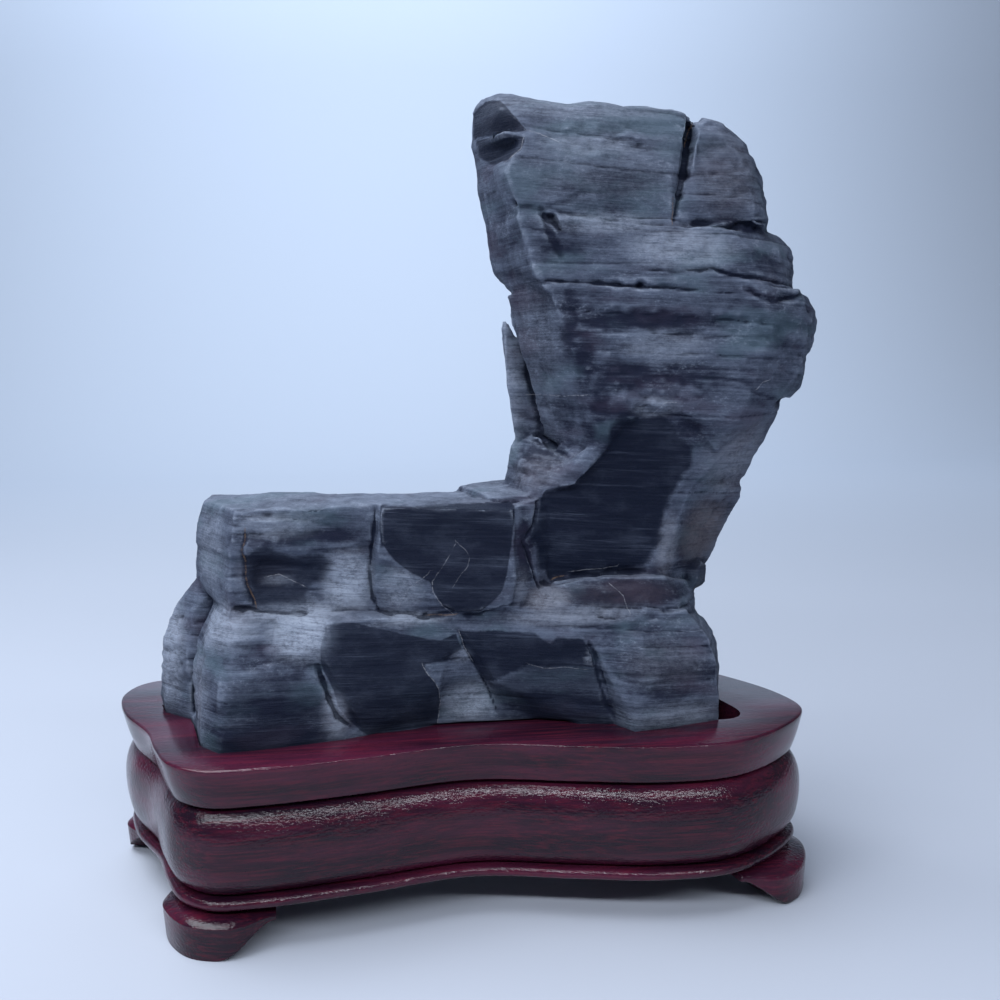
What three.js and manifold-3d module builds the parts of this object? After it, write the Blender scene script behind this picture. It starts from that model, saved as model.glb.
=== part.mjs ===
// Scholars rock on its carved wooden stand.
// Millimetres, +Z up. The rock's front faces -Y and its tower stands on the right, at +X.
// The origin is on the table, at the middle of the object's bounding box.

import * as THREE from 'three';
import { ConvexGeometry } from 'three/addons/geometries/ConvexGeometry.js';
import { LoftGeometry } from 'three/addons/geometries/LoftGeometry.js';
import { ImprovedNoise } from 'three/addons/math/ImprovedNoise.js';
import { TessellateModifier } from 'three/addons/modifiers/TessellateModifier.js';
import { mergeVertices } from 'three/addons/utils/BufferGeometryUtils.js';
import Module from 'manifold-3d';

const wasm = await Module();
wasm.setup();

// Stand heights, from the table up
const FOOT_TOP = 12.9;
const APRON_BOTTOM = 13.2;
const STAND_TOP = 61;
const POCKET_FLOOR = 50;

// Clearances
const REST_GAP = 0.3;
const POCKET_CLEARANCE = 0.7;
const OVERSHOOT = 1;

// Corners closer than this are one corner
const MERGE_DISTANCE = 1e-3;

// Facet sizes of the curved stand and of the broken stone
const OUTLINE_STEPS = 64;
const ROCK_EDGE = 16.5;
const ROCK_SPLIT_ROUNDS = 40;

// Broad lumps of the stone's worn surface
const LUMP_RELIEF = 1.8;
const LUMP_SIZE = 34;
const RELIEF_FREE_HEIGHT = STAND_TOP + 2;
const RELIEF_FULL_HEIGHT = STAND_TOP + 8;

// Lobed outline of the stand's rim, counter-clockwise from the front left lobe
const RIM_OUTLINE = [
  [-86, -49.5], [-69, -49.8], [-40, -45.5], [-3, -39], [30, -45.5], [56, -50.3], [82, -48.8],
  [103, -36], [115, -20], [113, -2], [101, 21], [86, 40], [62, 49], [34, 45], [2, 40],
  [-34, 44], [-72, 50], [-104, 52], [-122, 46], [-127, 33], [-122, 11], [-110, -11],
  [-104.5, -27], [-97.5, -41.5],
];

// Carved profile of the stand as [distance outside the rim outline, height], from the underside up
const STAND_PROFILE = [
  [-8.5, APRON_BOTTOM], [-6.6, 13.9],
  [-3.4, 14.5], [-2.2, 15.2], [-1.9, 16.4], [-2.6, 17.7],
  [-6.2, 18.3],
  [-4.2, 19.6], [-1.9, 23], [-0.7, 28.5], [-0.4, 34], [-0.9, 39], [-2.3, 43], [-4.2, 45.6],
  [-7, 47],
  [-3.9, 47.5], [-3.2, 48.3], [-1.9, 52.2], [-0.9, 56.2], [0, 60.1],
  [-0.9, STAND_TOP],
];

// Bracket foot: how far it reaches in under the stand, its ledge, and the share of it that sweeps up
const FOOT_DEPTH = 17;
const FOOT_LEDGE = 11.6;
const FOOT_LEDGE_WIDTH = 5;
const FOOT_TIP = 2.2;
const FOOT_TAPER = 0.32;
const FOOT_STEPS = 14;
const FOOT_ARRIS = 0.8;
const FOOT_BATTER = 0.6;

// Each foot's outer edge in plan, counter-clockwise round the stand
const FEET = {
  foot_front_left: [[-106.5, -20], [-103, -34], [-94, -47], [-82, -51.2], [-66, -50.2]],
  foot_front_right: [[87, -48], [99, -44.4], [109, -37.4], [116, -22], [114.5, -5]],
  foot_back_right: [[106, 15], [99, 33], [85, 45], [70, 50], [55, 49.4]],
  foot_back_left: [[-90, 52.2], [-105, 53.4], [-120, 48.5], [-128.4, 35], [-125.9, 19]],
};

// Line where the stone meets the stand's top, counter-clockwise from its near left corner
const STONE_FOOT = [
  [-83, -34.6], [-72, -33.6], [-56, -30.6], [-44, -27.6], [-34, -23.8], [-22, -21.6], [-13, -17.8],
  [8, -14.8], [29, -19.6], [34, -24.6], [46, -26.6], [51, -35], [64, -32.6], [82, -27.6], [87.6, -8],
  [86, 17], [60, 24], [20, 21], [-25, 24], [-70, 22], [-103, 25.5], [-109.6, 17], [-107, 9.4],
  [-97, 0.4], [-94.8, -6], [-89.6, -26.8],
];

// Bare end of the pocket that the stone leaves open on the right
const POCKET_END = [[78, -27.5], [86, -27.2], [90.5, -24], [91, -18], [87.5, -12.5], [78, -11]];

// Heights of the stone's underside, of the foot of its blocks, and of the root that joins the two
const STONE_BOTTOM = POCKET_FLOOR + REST_GAP;
const BASE = STAND_TOP + 0.6;
const ROOT_TOP = STAND_TOP + 2;

// The stone has broken along its bedding and its joints. Each block lists its corners as [x, y, z].
const BLOCKS = {
  core: [
    [-84, -20, BASE], [-40, -20, BASE], [0, -13, BASE], [30, -15, BASE], [78, -20, BASE],
    [80, 14, BASE], [0, 19, BASE], [-88, 19, BASE], [-78, -16, 101], [60, -16, 97], [70, 12, 97],
    [-82, 18, 103],
  ],
  leftEnd: [
    [-110, 17, BASE], [-107.3, 9, BASE], [-97.2, 0.2, BASE], [-103, 26, BASE], [-80, 24, BASE],
    [-80, 0, BASE], [-109, 14, 75], [-107.5, 13, 86], [-97.5, 2, 83], [-104, 13, 97], [-95, 4, 99],
    [-100, 14, 104], [-99, 23, 101], [-95, 10, 110], [-86, 6, 109], [-80, 23, 109],
  ],
  leftCorner: [
    [-95, -5.6, BASE], [-90, -27, BASE], [-83, -35, BASE], [-72, -34, BASE], [-56, -31, BASE],
    [-44, -28, BASE], [-40, 15, BASE], [-90, 20, BASE], [-95, -4, 77], [-89, -25, 79],
    [-82, -33.5, 79], [-50, -30, 77], [-93, -3, 91], [-86, -20, 95], [-78, -27, 96], [-58, -27, 92],
    [-88, 0, 103], [-82, -15, 105], [-75, -21, 103], [-60, -20, 100], [-84, 18, 106], [-50, 18, 99],
  ],
  cornerFill: [
    [-66, -21.5, 102.6], [-48, -21, 103], [-62, -25.8, 96.5], [-49, -28.4, 98.8], [-57, -28.4, 88],
    [-49, -29, 87.5], [-60, -18, 90], [-47, -18, 90], [-47, -18, 102],
  ],
  cornerFillet: [
    [-56, -28, 90], [-49, -28.2, 90], [-52, -27.4, 82], [-47, -26.6, 80], [-49, -27.4, 72],
    [-43, -26, 70], [-45, -27, BASE], [-38, -24.6, BASE], [-56, -16, 88], [-44, -16, 88],
    [-48, -16, BASE], [-38, -16, BASE],
  ],
  frontSlabLeft: [
    [-50, -30, 100], [-50, -30, 88], [-44, -29.2, 74], [-12, -24.8, 76], [-12, -24.8, 86],
    [-7, -24.1, 97], [-27, -26.8, 100], [-37, -25.4, BASE], [-34, -24.2, BASE], [-14, -18.8, BASE],
    [-47, -20, 102], [-8, -18, 100], [-45, 5, 101], [-10, 5, 99], [-36, 5, BASE], [-14, 5, BASE],
  ],
  frontMiddle: [
    [-14, -18.7, BASE], [8, -15.2, BASE], [9, -20.6, 78], [-3, -24.2, 96], [-16, -24.2, 93],
    [-16, -23.8, 78], [-16, 8, BASE], [8, 8, BASE], [8, 8, 95], [-16, 8, 95],
  ],
  frontSlabRight: [
    [-6, -25, 96.5], [20, -26.5, 94.5], [27, -26.9, 93], [37, -27.5, 91], [42, -27.8, 77],
    [46, -28, 70], [6, -24.6, 76], [46, -27, BASE], [34, -24.8, BASE], [29, -19.8, BASE],
    [8, -15, BASE], [-4, 5, 96], [38, 5, 91], [45, 5, BASE], [8, 5, BASE], [0, -18, 98],
    [30, -18, 95],
  ],
  rightLump: [
    [46, -27, BASE], [51, -35.4, BASE], [64, -33, BASE], [82, -28, BASE], [87.8, -8, BASE],
    [86, 17, BASE], [46, 15, BASE], [44, -29, 77], [51, -36, 70], [60, -35, 80], [81, -30, 77],
    [88.4, -6, 76], [86, 17, 77], [42, -26, 89], [54, -32, 89], [79, -27, 89], [86.6, -5, 86],
    [85, 17, 87], [48, -22, 95], [57, -26, 96], [74, -22, 95], [80, -3, 94], [79, 14, 94],
    [48, 14, 94], [37, -26.4, 91.4], [40, -22, 97],
  ],
  backLump: [
    [-70, 21, BASE], [-25, 24.4, BASE], [20, 21, BASE], [60, 24, BASE], [62, 10, BASE],
    [-70, 10, BASE], [-66, 24, 79], [-20, 27, 83], [40, 26, 79], [56, 20, 95], [-20, 22, 99],
    [-62, 19, 95],
  ],
  collar: [
    [13, -22, 100], [24, -24, 100], [50, -25, 98], [72, -20, 97], [80, -6, 95], [82, 0, 98],
    [80, -4, 103], [66, -16, 108], [45, -19, 109.5], [28, -18, 108], [16, -18, 105], [80, 14, 95],
    [76, 14, 109], [15, 14, 97], [15, 14, 109],
  ],
  grainLedge: [
    [-12, -22, 99.8], [14, -22.4, 100.4], [30, -24.4, 100], [52, -25, 99], [72, -20.6, 98],
    [-12, -23.4, 95.6], [20, -25.6, 93.4], [38, -26.4, 91], [56, -28, 91], [76, -23, 92],
    [-12, 0, 98], [72, 0, 97], [-12, 0, 90], [78, 0, 90],
  ],
  knob: [
    [79, -4, 106], [84, -3, 111], [87, 1, 109], [86.5, 1, 102], [82, 0, 100.5], [80, -6, 102],
    [84, 8, 106], [78, 8, 101], [78, 8, 111],
  ],
  ledgeTop: [
    [-78, -19, 137], [-70, -21.5, 136.5], [-50, -21.5, 136.5], [-30, -20, 136.5], [-28, 20, 136],
    [-60, 21, 137], [-90, 20, 137], [-92, 10, 136], [-79.5, -22, 121], [-60, -22.5, 122],
    [-30, -20.5, 124], [-28, 20, 120], [-95, 20, 121], [-96, 11, 121],
  ],
  ledgeFoot: [
    [-79.5, -20.5, 122], [-30, -19, 124], [-30, 20, 122], [-95, 19, 122], [-95.5, 11, 122],
    [-80, -21, 102], [-74, -21, 101], [-32, -20, 100], [-30, 20, 100], [-97, 20, 104], [-95.5, 11, 107],
  ],
  ledgeLens: [
    [-71, -17, 112], [-55, -17, 112], [-63, -21.5, 113], [-63, -17, 116.5], [-63, -17, 108.5],
    [-63, -12, 112],
  ],
  ledgeSlab: [
    [-30, -25, 136], [-31, -25.5, 126], [-25, -25.5, 118.5], [-16, -25.5, 110], [-10, -25.5, 103],
    [2, -25.5, 100.5], [11, -24.5, 102], [13, -24, 113], [12.5, -23.5, 125], [13, -23, 134],
    [-8, -25, 135.5], [-33, -21.5, 121], [-33, -21, 107], [-31.5, -21, 102], [-25, -21.5, 99],
    [-14, -22.5, 99], [-30, 0, 136], [13, 0, 135], [12, 0, 101], [-31, 0, 101], [-30, -10, 136.8],
    [13, -8, 136.6],
  ],
  ledgeCrease: [
    [9, -23.4, 134], [24, -15.6, 137.6], [9, -23.6, 103], [14, -22.6, 100], [25, -14.6, 109],
    [25, -14, 100], [9, 0, 135], [24, 0, 137], [9, 0, 100], [25, 0, 100],
  ],
  ledgeBack: [
    [-40, -6, 136], [30, -7, 135], [30, 21, 136], [-40, 20, 136], [-40, -6, 99], [30, -7, 99],
    [30, 22, 99], [-40, 20, 99], [-10, 25, 115],
  ],
  ledgeSkin: [
    [-4, 19, 135], [20, 21, 135], [20, -16, 135], [4, -14, 135], [-2, 18, 138.2], [19, 20, 140],
    [19, -15, 138.5], [6, -12, 138],
  ],
  rubbleLeft: [
    [16, 10, 154], [15.5, 8, 146], [17, 8, 141.5], [13, 10, 139], [20, -13, 138], [25, 2, 157],
    [31, -6, 149], [28, -13, 142], [18, 18, 138], [22, 16, 159], [32, 6, 150],
  ],
  rubbleFill: [
    [20, -13, 137], [44, -14.4, 138], [43, -14.6, 155], [33, -9, 149], [23, 3, 153], [17, 8, 150],
    [16, 8, 138], [40, 4, 138], [36, 4, 148],
  ],
  rubbleRight: [
    [23, -16, 138], [24, -17, 140], [35, -17.8, 142], [43, -18, 151], [43.5, -17, 157],
    [34, -12, 148], [22, -11, 141], [42, -6, 150], [32, 2, 140],
  ],
  neck: [
    [77, -14.9, 141], [99, 4, 139], [100, 3, 134], [93, 4, 127], [87, 5, 114], [85, 5, 110],
    [84, 5, 100], [64, -12.9, 107], [62, -12.5, 100], [69, -14.2, 129], [22, -14.8, 138],
    [20, -14, 125], [22, -12.9, 107], [22, -12.5, 99], [18, 22, 139], [96, 20, 139], [82, 19, 100],
    [20, 22, 100],
  ],
  throat: [
    [41, -16.7, 170], [82, -16.7, 170], [104, -14, 169], [112, -4, 169], [113, 0, 164],
    [110, 2, 158], [102, 3, 149], [99, 4, 138], [82, -15.7, 154], [77, -14.9, 140], [24, 3, 170],
    [31, 3, 148], [42, -14.8, 138], [44, -15.7, 153], [30, 24, 170], [105, 21, 169], [96, 21, 139],
    [30, 23, 138], [36, 3, 138],
  ],
  flake: [
    [14.2, 11, 198.5], [15, 9.5, 189], [15.5, 9, 180], [18, 8, 174], [18.3, 8, 158], [23, 10, 184],
    [30, 8, 158], [20, 20, 182], [24, 24, 153], [16.6, 16, 190], [17, 9, 151], [27, 11, 151],
  ],
  brow: [
    [25, -21, 206], [29, -21, 199], [33, -21, 187], [37, -20.8, 177], [41, -20.2, 167],
    [44.5, -18.6, 152], [82.5, -18.6, 152], [92, -20.2, 167], [101, -21, 193], [97, -21, 206],
    [105, -15, 167], [115, -12, 181], [118, -10, 195], [112, -14, 206], [15, 2, 205], [18, 2, 196],
    [22, 2, 181], [25, 2, 168], [31, 2, 152], [122, 0, 205], [125, 0, 194], [124, 0, 186],
    [118, 0, 170], [101, 4, 152], [24, 26, 206], [30, 26, 168], [112, 22, 169], [118, 20, 188],
    [114, 22, 206], [70, 29, 188],
  ],
  shoulder: [
    [15, -20, 229], [20, -20.5, 212], [24, -20.7, 205], [96, -20.7, 205], [93, -20.3, 219],
    [84, -20, 228], [109, -13, 205], [106, -12, 219], [98, -12, 226], [8, 9, 228], [9, 9, 218],
    [12, 8, 213], [16, 4, 206], [116, 2, 220], [119, 2, 205], [112, 2, 225], [105, 4, 228],
    [14, 26, 229], [13.5, 26, 214], [22, 26, 206], [108, 24, 225], [112, 24, 205], [60, 28, 217],
  ],
  peak: [
    [11, -12, 264], [12, -2, 270.2], [7, 5, 270], [4.8, 8, 266.4], [4, 8, 257], [6, 8, 245],
    [8, 8, 226], [21, -12.6, 265.5], [44, -12.6, 264.5], [72, -12.6, 264], [76, -12, 262.5],
    [20, -18.3, 256], [46, -18.4, 253.5], [71, -18.4, 253], [66, -19.5, 226], [16, -19.4, 229],
    [12, -18.4, 243], [10, 20, 264], [40, 22, 265], [76, 17, 262], [72, 24, 226], [12, 24, 226],
  ],
  peakRight: [
    [74, -17.4, 256], [66, -18.4, 227], [96, -17, 227], [94, -17, 240], [91, -17, 249],
    [84, -17, 256], [75, -13, 259], [80, -13, 261.5], [86, -13, 259.5], [93, -13, 254],
    [97, -13, 247], [99, -13, 240], [101, -13, 227], [81, 0, 264.5], [90, 0, 263], [98, 0, 257],
    [104, 0, 243], [107, 0, 230], [106, 2, 226], [78, 17, 260], [90, 17, 258], [100, 17, 243],
    [102, 19, 227], [66, 20, 227],
  ],
};

// Cracks, chips and pits, cut out of the blocks in the same way
const CUTS = {
  peakCrack: [
    [74.4, -26, 269], [78, -26, 269], [71.6, -26, 250], [75.8, -26, 249], [66, -26, 229],
    [69.4, -26, 229], [76.4, -6, 269], [73.6, -13.6, 250], [67.8, -16, 229],
  ],
  peakNotch: [
    [72.5, -26, 271], [80.5, -26, 271], [76, -26, 260], [79, 30, 271], [90, 30, 271], [84, 30, 262],
  ],
  peakChip: [
    [19.5, -18.6, 255.3], [11, -12.6, 266], [3.5, 3, 255.3], [-10, -30, 255.3], [-10, -30, 273],
    [-10, 3, 255.3], [-10, 3, 269], [10, -30, 269], [19.5, -30, 255.3],
  ],
  peakScoop: [
    [18.5, -18.6, 253.7], [11.5, -17.4, 242.5], [4.8, 4, 253.7], [5.5, 4, 246], [-10, -30, 253.7],
    [-10, -30, 243], [-10, 5, 253.7], [-10, 5, 246], [18.5, -30, 253.7], [11.5, -30, 242.5],
  ],
  shoulderPit: [
    [22, -25, 232], [27.5, -25, 232], [32.5, -25, 222], [28, -25, 222.5], [24, -16.4, 229.5],
    [27.5, -16.4, 229.5], [30.5, -16.4, 224],
  ],
  beddingLeft: [
    [27, -28, 206.4], [63, -28, 206.6], [27, -28, 204.6], [63, -28, 204.4], [31, -18.4, 205.4],
    [60, -18.4, 205.4],
  ],
  beddingRight: [
    [61, -28, 211.4], [86, -28, 211], [61, -28, 209.4], [86, -28, 209.4], [63, -18.6, 210.4],
    [84, -18.6, 210.2],
  ],
  neckScar: [
    [45, -40, 152], [50, -40, 160.5], [60, -40, 166.5], [68, -40, 166.5], [77, -40, 160.5],
    [82, -40, 152], [82, -40, 140], [45, -40, 140], [45, -15.8, 152], [50, -16.3, 160.5],
    [60, -16.7, 166.5], [68, -16.7, 166.5], [77, -16.3, 160.5], [82, -15.8, 152], [82, -15, 140],
    [45, -15, 140],
  ],
  flakeGap: [
    [8, 3.2, 203], [8, 8.6, 203], [14, 3, 155], [14, 6.6, 155], [28, 7, 195], [31, 5.4, 159],
  ],
  ledgeHollow: [
    [-73, -30, 121], [-36, -30, 118], [-71, -16.4, 119], [-46, -17.6, 116], [-72, -20.6, 103],
    [-42, -19.8, 103], [-73, -30, 104], [-38, -30, 104],
  ],
  endCrack: [
    [-100, -6, 93], [-96.6, -6, 94], [-100, -6, 63.6], [-96, -6, 63.6], [-92, 5, 91], [-91, 5, 64],
  ],
  backCrack: [
    [40, 40, 233], [44, 40, 233], [52, 40, 173], [56, 40, 175], [43, 14, 225], [53, 14, 181],
  ],
  backStep: [
    [-90, 34, 131], [-30, 34, 125], [-30, 34, 119], [-90, 34, 123], [-88, 15, 126], [-32, 16, 122],
  ],
};

// Geometry helpers

function corners(list) {
  return list.map(([x, y, z]) => new THREE.Vector3(x, y, z));
}

function toSolid(geometry) {
  const bare = new THREE.BufferGeometry();
  bare.setAttribute('position', geometry.attributes.position);
  bare.setIndex(geometry.index);
  const merged = mergeVertices(bare, MERGE_DISTANCE);
  const mesh = new wasm.Mesh({
    numProp: 3,
    vertProperties: new Float32Array(merged.attributes.position.array),
    triVerts: new Uint32Array(merged.index.array),
  });
  return new wasm.Manifold(mesh);
}

function toGeometry(solid) {
  const mesh = solid.getMesh();
  const geometry = new THREE.BufferGeometry();
  geometry.setAttribute('position', new THREE.BufferAttribute(mesh.vertProperties, 3));
  geometry.setIndex(new THREE.BufferAttribute(mesh.triVerts, 1));
  return geometry;
}

function hullSolid(list) {
  return toSolid(new ConvexGeometry(corners(list)));
}

function loft(sections) {
  return new LoftGeometry(sections, { closed: true, capStart: true, capEnd: true });
}

// Straight-sided solid over a plan outline, grown outwards by a margin
function plug(outline, bottom, top, margin) {
  const points = outline.map(([x, y]) => new THREE.Vector2(x, y));
  const count = points.length;
  const grown = points.map((point, i) => {
    const along = points[(i + 1) % count].clone().sub(points[(i + count - 1) % count]).normalize();
    return new THREE.Vector2(point.x + along.y * margin, point.y - along.x * margin);
  });
  return loft([bottom, top].map((z) => grown.map((p) => new THREE.Vector3(p.x, p.y, z))));
}

function flatPoints(outline) {
  return outline.map(([x, y]) => new THREE.Vector3(x, y, 0));
}

function openCurve(outline) {
  return new THREE.CatmullRomCurve3(flatPoints(outline), false, 'centripetal');
}

function closedCurve(outline) {
  return new THREE.CatmullRomCurve3(flatPoints(outline), true, 'centripetal');
}

// Point at a share of the way along a plan curve, a distance outside it and at a height
function beside(curve, share, outside, z) {
  const point = curve.getPointAt(share);
  const along = curve.getTangentAt(share);
  return new THREE.Vector3(point.x + along.y * outside, point.y - along.x * outside, z);
}

// Stand

function makeStand() {
  const rim = closedCurve(RIM_OUTLINE);
  const rings = STAND_PROFILE.map(([outside, z]) => {
    const ring = [];
    for (let i = 0; i < OUTLINE_STEPS; i++) {
      ring.push(beside(rim, i / OUTLINE_STEPS, outside, z));
    }
    return ring;
  });
  const pocketTop = STAND_TOP + OVERSHOOT;
  return toGeometry(
    toSolid(loft(rings))
      .subtract(toSolid(plug(STONE_FOOT, POCKET_FLOOR, pocketTop, POCKET_CLEARANCE)))
      .subtract(toSolid(plug(POCKET_END, POCKET_FLOOR, pocketTop, 0))));
}

// A foot follows its outer edge. Its underside is flat and sweeps up to a thin tip at both ends.
function makeFoot(outline) {
  const edge = openCurve(outline);
  const sections = [];
  for (let i = 0; i <= FOOT_STEPS; i++) {
    const t = i / FOOT_STEPS;
    const rise = 1 - THREE.MathUtils.smoothstep(Math.min(t, 1 - t), 0, FOOT_TAPER);
    const under = (FOOT_LEDGE - FOOT_TIP) * rise;
    const inset = FOOT_LEDGE_WIDTH * rise * rise;
    sections.push([
      beside(edge, t, -FOOT_DEPTH, under),
      beside(edge, t, -FOOT_DEPTH, FOOT_TOP),
      beside(edge, t, -inset - FOOT_LEDGE_WIDTH, FOOT_TOP),
      beside(edge, t, -inset - FOOT_ARRIS, FOOT_LEDGE),
      beside(edge, t, -inset, FOOT_LEDGE - FOOT_ARRIS),
      beside(edge, t, -inset - FOOT_BATTER, under),
    ]);
  }
  return loft(sections);
}

// Rock

const noise = new ImprovedNoise();

// Height of the stone's lumps at a place on its surface, none where it sits in the pocket
function relief(p) {
  const lumps = noise.noise(p.x / LUMP_SIZE, p.y / LUMP_SIZE, p.z / LUMP_SIZE);
  return LUMP_RELIEF * lumps * THREE.MathUtils.smoothstep(p.z, RELIEF_FREE_HEIGHT, RELIEF_FULL_HEIGHT);
}

function makeRock() {
  let solid = toSolid(plug(STONE_FOOT, STONE_BOTTOM, ROOT_TOP, 0));
  for (const block of Object.values(BLOCKS)) {
    solid = solid.add(hullSolid(block));
  }
  for (const cut of Object.values(CUTS)) {
    solid = solid.subtract(hullSolid(cut));
  }
  const split = new TessellateModifier(ROCK_EDGE, ROCK_SPLIT_ROUNDS).modify(toGeometry(solid));
  const geometry = mergeVertices(split, MERGE_DISTANCE);
  geometry.computeVertexNormals();
  const position = geometry.attributes.position;
  const normal = geometry.attributes.normal;
  for (let i = 0; i < position.count; i++) {
    const point = new THREE.Vector3().fromBufferAttribute(position, i);
    const outward = new THREE.Vector3().fromBufferAttribute(normal, i);
    point.addScaledVector(outward, relief(point));
    position.setXYZ(i, point.x, point.y, point.z);
  }
  geometry.computeVertexNormals();
  return geometry;
}

// Assembly

function piece(name, geometry, colour, roughness) {
  const material = new THREE.MeshStandardMaterial({ color: colour, roughness, metalness: 0 });
  const mesh = new THREE.Mesh(geometry, material);
  mesh.name = name;
  return mesh;
}

const STONE_COLOUR = 0x3f424d;
const STONE_ROUGHNESS = 0.8;
const WOOD_COLOUR = 0x3d1420;
const WOOD_ROUGHNESS = 0.35;

const part = new THREE.Group();
part.add(piece('rock', makeRock(), STONE_COLOUR, STONE_ROUGHNESS));
part.add(piece('stand', makeStand(), WOOD_COLOUR, WOOD_ROUGHNESS));
for (const [name, outline] of Object.entries(FEET)) {
  part.add(piece(name, makeFoot(outline), WOOD_COLOUR, WOOD_ROUGHNESS));
}

// Bring the middle of the bounding box over the origin
const middle = new THREE.Box3().setFromObject(part).getCenter(new THREE.Vector3());
for (const mesh of part.children) {
  mesh.position.set(-middle.x, -middle.y, 0);
}

export default part;
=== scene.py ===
import itertools
import math

import bmesh
import bpy
import numpy as np
from mathutils import Matrix, Vector


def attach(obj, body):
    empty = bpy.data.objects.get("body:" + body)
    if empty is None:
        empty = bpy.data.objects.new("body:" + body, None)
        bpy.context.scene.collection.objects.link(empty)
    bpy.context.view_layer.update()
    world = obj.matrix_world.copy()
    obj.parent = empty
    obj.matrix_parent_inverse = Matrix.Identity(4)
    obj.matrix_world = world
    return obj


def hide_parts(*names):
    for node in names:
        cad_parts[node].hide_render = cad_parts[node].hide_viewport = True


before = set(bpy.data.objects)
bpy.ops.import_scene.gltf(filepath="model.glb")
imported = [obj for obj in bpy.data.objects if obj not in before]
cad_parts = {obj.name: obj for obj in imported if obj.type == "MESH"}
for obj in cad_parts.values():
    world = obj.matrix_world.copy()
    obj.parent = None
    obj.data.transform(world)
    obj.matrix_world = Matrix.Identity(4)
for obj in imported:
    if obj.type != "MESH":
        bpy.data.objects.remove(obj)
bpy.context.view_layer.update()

bl_info = {
    "name": "Scholars rock on a rosewood stand",
    "version": (1, 0, 0),
    "blender": (4, 5, 0),
    "location": "View3D > Sidebar > Scholars rock",
    "description": "Builds a dark bedded scholars rock and its carved, lacquered stand",
    "category": "Object",
}

# The frame is in metres; sizes, outlines and places below are in millimetres. FAR stands for a
# distance out of reach, and the last two are level directions that lines on the stone face.
MM = 0.001
BODY = "root"
FAR = 40.0
FRONT = (0.0, -1.0)
LEFT_FRONT = (-0.72, -0.69)


def srgb(code):
    """Linear colour of an sRGB hex code."""
    values = [int(code[i:i + 2], 16) / 255 for i in (1, 3, 5)]
    return tuple(v / 12.92 if v <= 0.04045 else ((v + 0.055) / 1.055) ** 2.4 for v in values)


# What a user would change


def colour_setting(name, description, code):
    return bpy.props.FloatVectorProperty(
        name=name, description=description, default=srgb(code), subtype="COLOR")


def length_setting(name, description, size, least, most):
    """A length, given in millimetres."""
    return bpy.props.FloatProperty(
        name=name, description=description, default=size * MM, min=least * MM, max=most * MM,
        precision=5, unit="LENGTH")


def count_setting(name, description, count, least, most):
    return bpy.props.IntProperty(
        name=name, description=description, default=count, min=least, max=most)


def power_setting(name, description, power):
    """A lamp's power, given in watts."""
    return bpy.props.FloatProperty(
        name=name, description=description, default=power, min=0, unit="POWER")


class RockStone(bpy.types.PropertyGroup):
    skin_spacing: length_setting(
        "Skin spacing", "Distance between the points of the stone's surface", 0.8, 0.6, 3)
    most_triangles: count_setting(
        "Most triangles", "Triangles that the finished stone is thinned out to", 185000, 10000, 195000)
    edge_rounds: count_setting(
        "Edge wear", "Rounds of smoothing that take the keenness off broken edges", 2, 0, 20)
    rounding: count_setting(
        "Weathering", "Rounds of smoothing where weather has rounded everything", 30, 0, 200)
    lump_relief: length_setting("Lump relief", "Height of the worn lumps", 0.5, 0, 3)
    bedding_relief: length_setting(
        "Bedding relief", "Height that the hard beds stand out of the soft ones", 1.0, 0, 3)
    body_colour: colour_setting("Body", "Weathered stone", "#5c6577")
    # Painted shade in hollows and from the shade table darkens the stone towards this colour too
    shade_colour: colour_setting("Dark beds", "Darker beds and blotches", "#1b2032")
    bloom_colour: colour_setting("Green tinge", "Blue-green tinge of some beds", "#4c5f6b")
    purple_colour: colour_setting("Purple tinge", "Purple-brown tinge of some beds", "#3a3344")
    # Also the colour of the painted shade in the stone's hollows
    cleavage_and_shade_colour: colour_setting(
        "Cleavage", "Smooth dark faces where a slab has split away", "#0d1527")
    # The dust colour also paints the highlight in the ledge's hollow
    dust_and_highlight_colour: colour_setting("Dust", "Chalky bloom on worn and sheltered stone", "#98a1b1")
    earth_colour: colour_setting("Earth", "Brown earth left in the hollows", "#4b4144")
    vein_colour: colour_setting("Veins", "Hairline calcite veins", "#a3a5ad")
    rust_colour: colour_setting("Rust", "Rusty seams in the cracks", "#77614f")


class RosewoodStand(bpy.types.PropertyGroup):
    outline_steps: count_setting(
        "Outline steps", "Points round the stand's lobed outline", 288, 64, 1024)
    profile_steps: count_setting(
        "Profile steps", "Points on each stretch of the carved profile", 4, 1, 12)
    arris: length_setting("Foot arris", "Rounding of the feet's edges", 0.5, 0, 2)
    heart_colour: colour_setting("Heartwood", "Purple-red of the wood under the lacquer", "#481a2f")
    dark_colour: colour_setting("Dark grain", "Purple-black grain", "#1d0d1b")
    glow_colour: colour_setting("Red grain", "Bright red streaks", "#7a2031")


class StudioStage(bpy.types.PropertyGroup):
    floor_colour: colour_setting("Floor", "Plain pale floor and backdrop", "#b2b8c4")
    sky_colour: colour_setting("Room", "Soft light of the room", "#d6e4fd")
    sky_strength: bpy.props.FloatProperty(
        name="Room light", description="Strength of the room's light", default=0.15, min=0)
    light_colour: colour_setting("Lamps", "Colour of the soft lamps", "#f0f6ff")
    backdrop_colour: colour_setting("Backdrop lamp", "Colour of the light on the backdrop", "#e1f0ff")
    top_power: power_setting("Top light", "Power of the soft light overhead", 12.6)
    strip_power: power_setting("Front light", "Power of the strip light over the front", 15.5)
    backdrop_power: power_setting("Backdrop light", "Power of the light on the backdrop", 41)
    lens: bpy.props.FloatProperty(
        name="Lens", description="Focal length on a 36 mm sensor, in millimetres", default=37.8)


# Stone: dark faces where slabs have split away, some with painted shade, as outlines in x and z with
# the y they lie between, how dark they are, how far they are sunk, and the width of their edge

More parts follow.
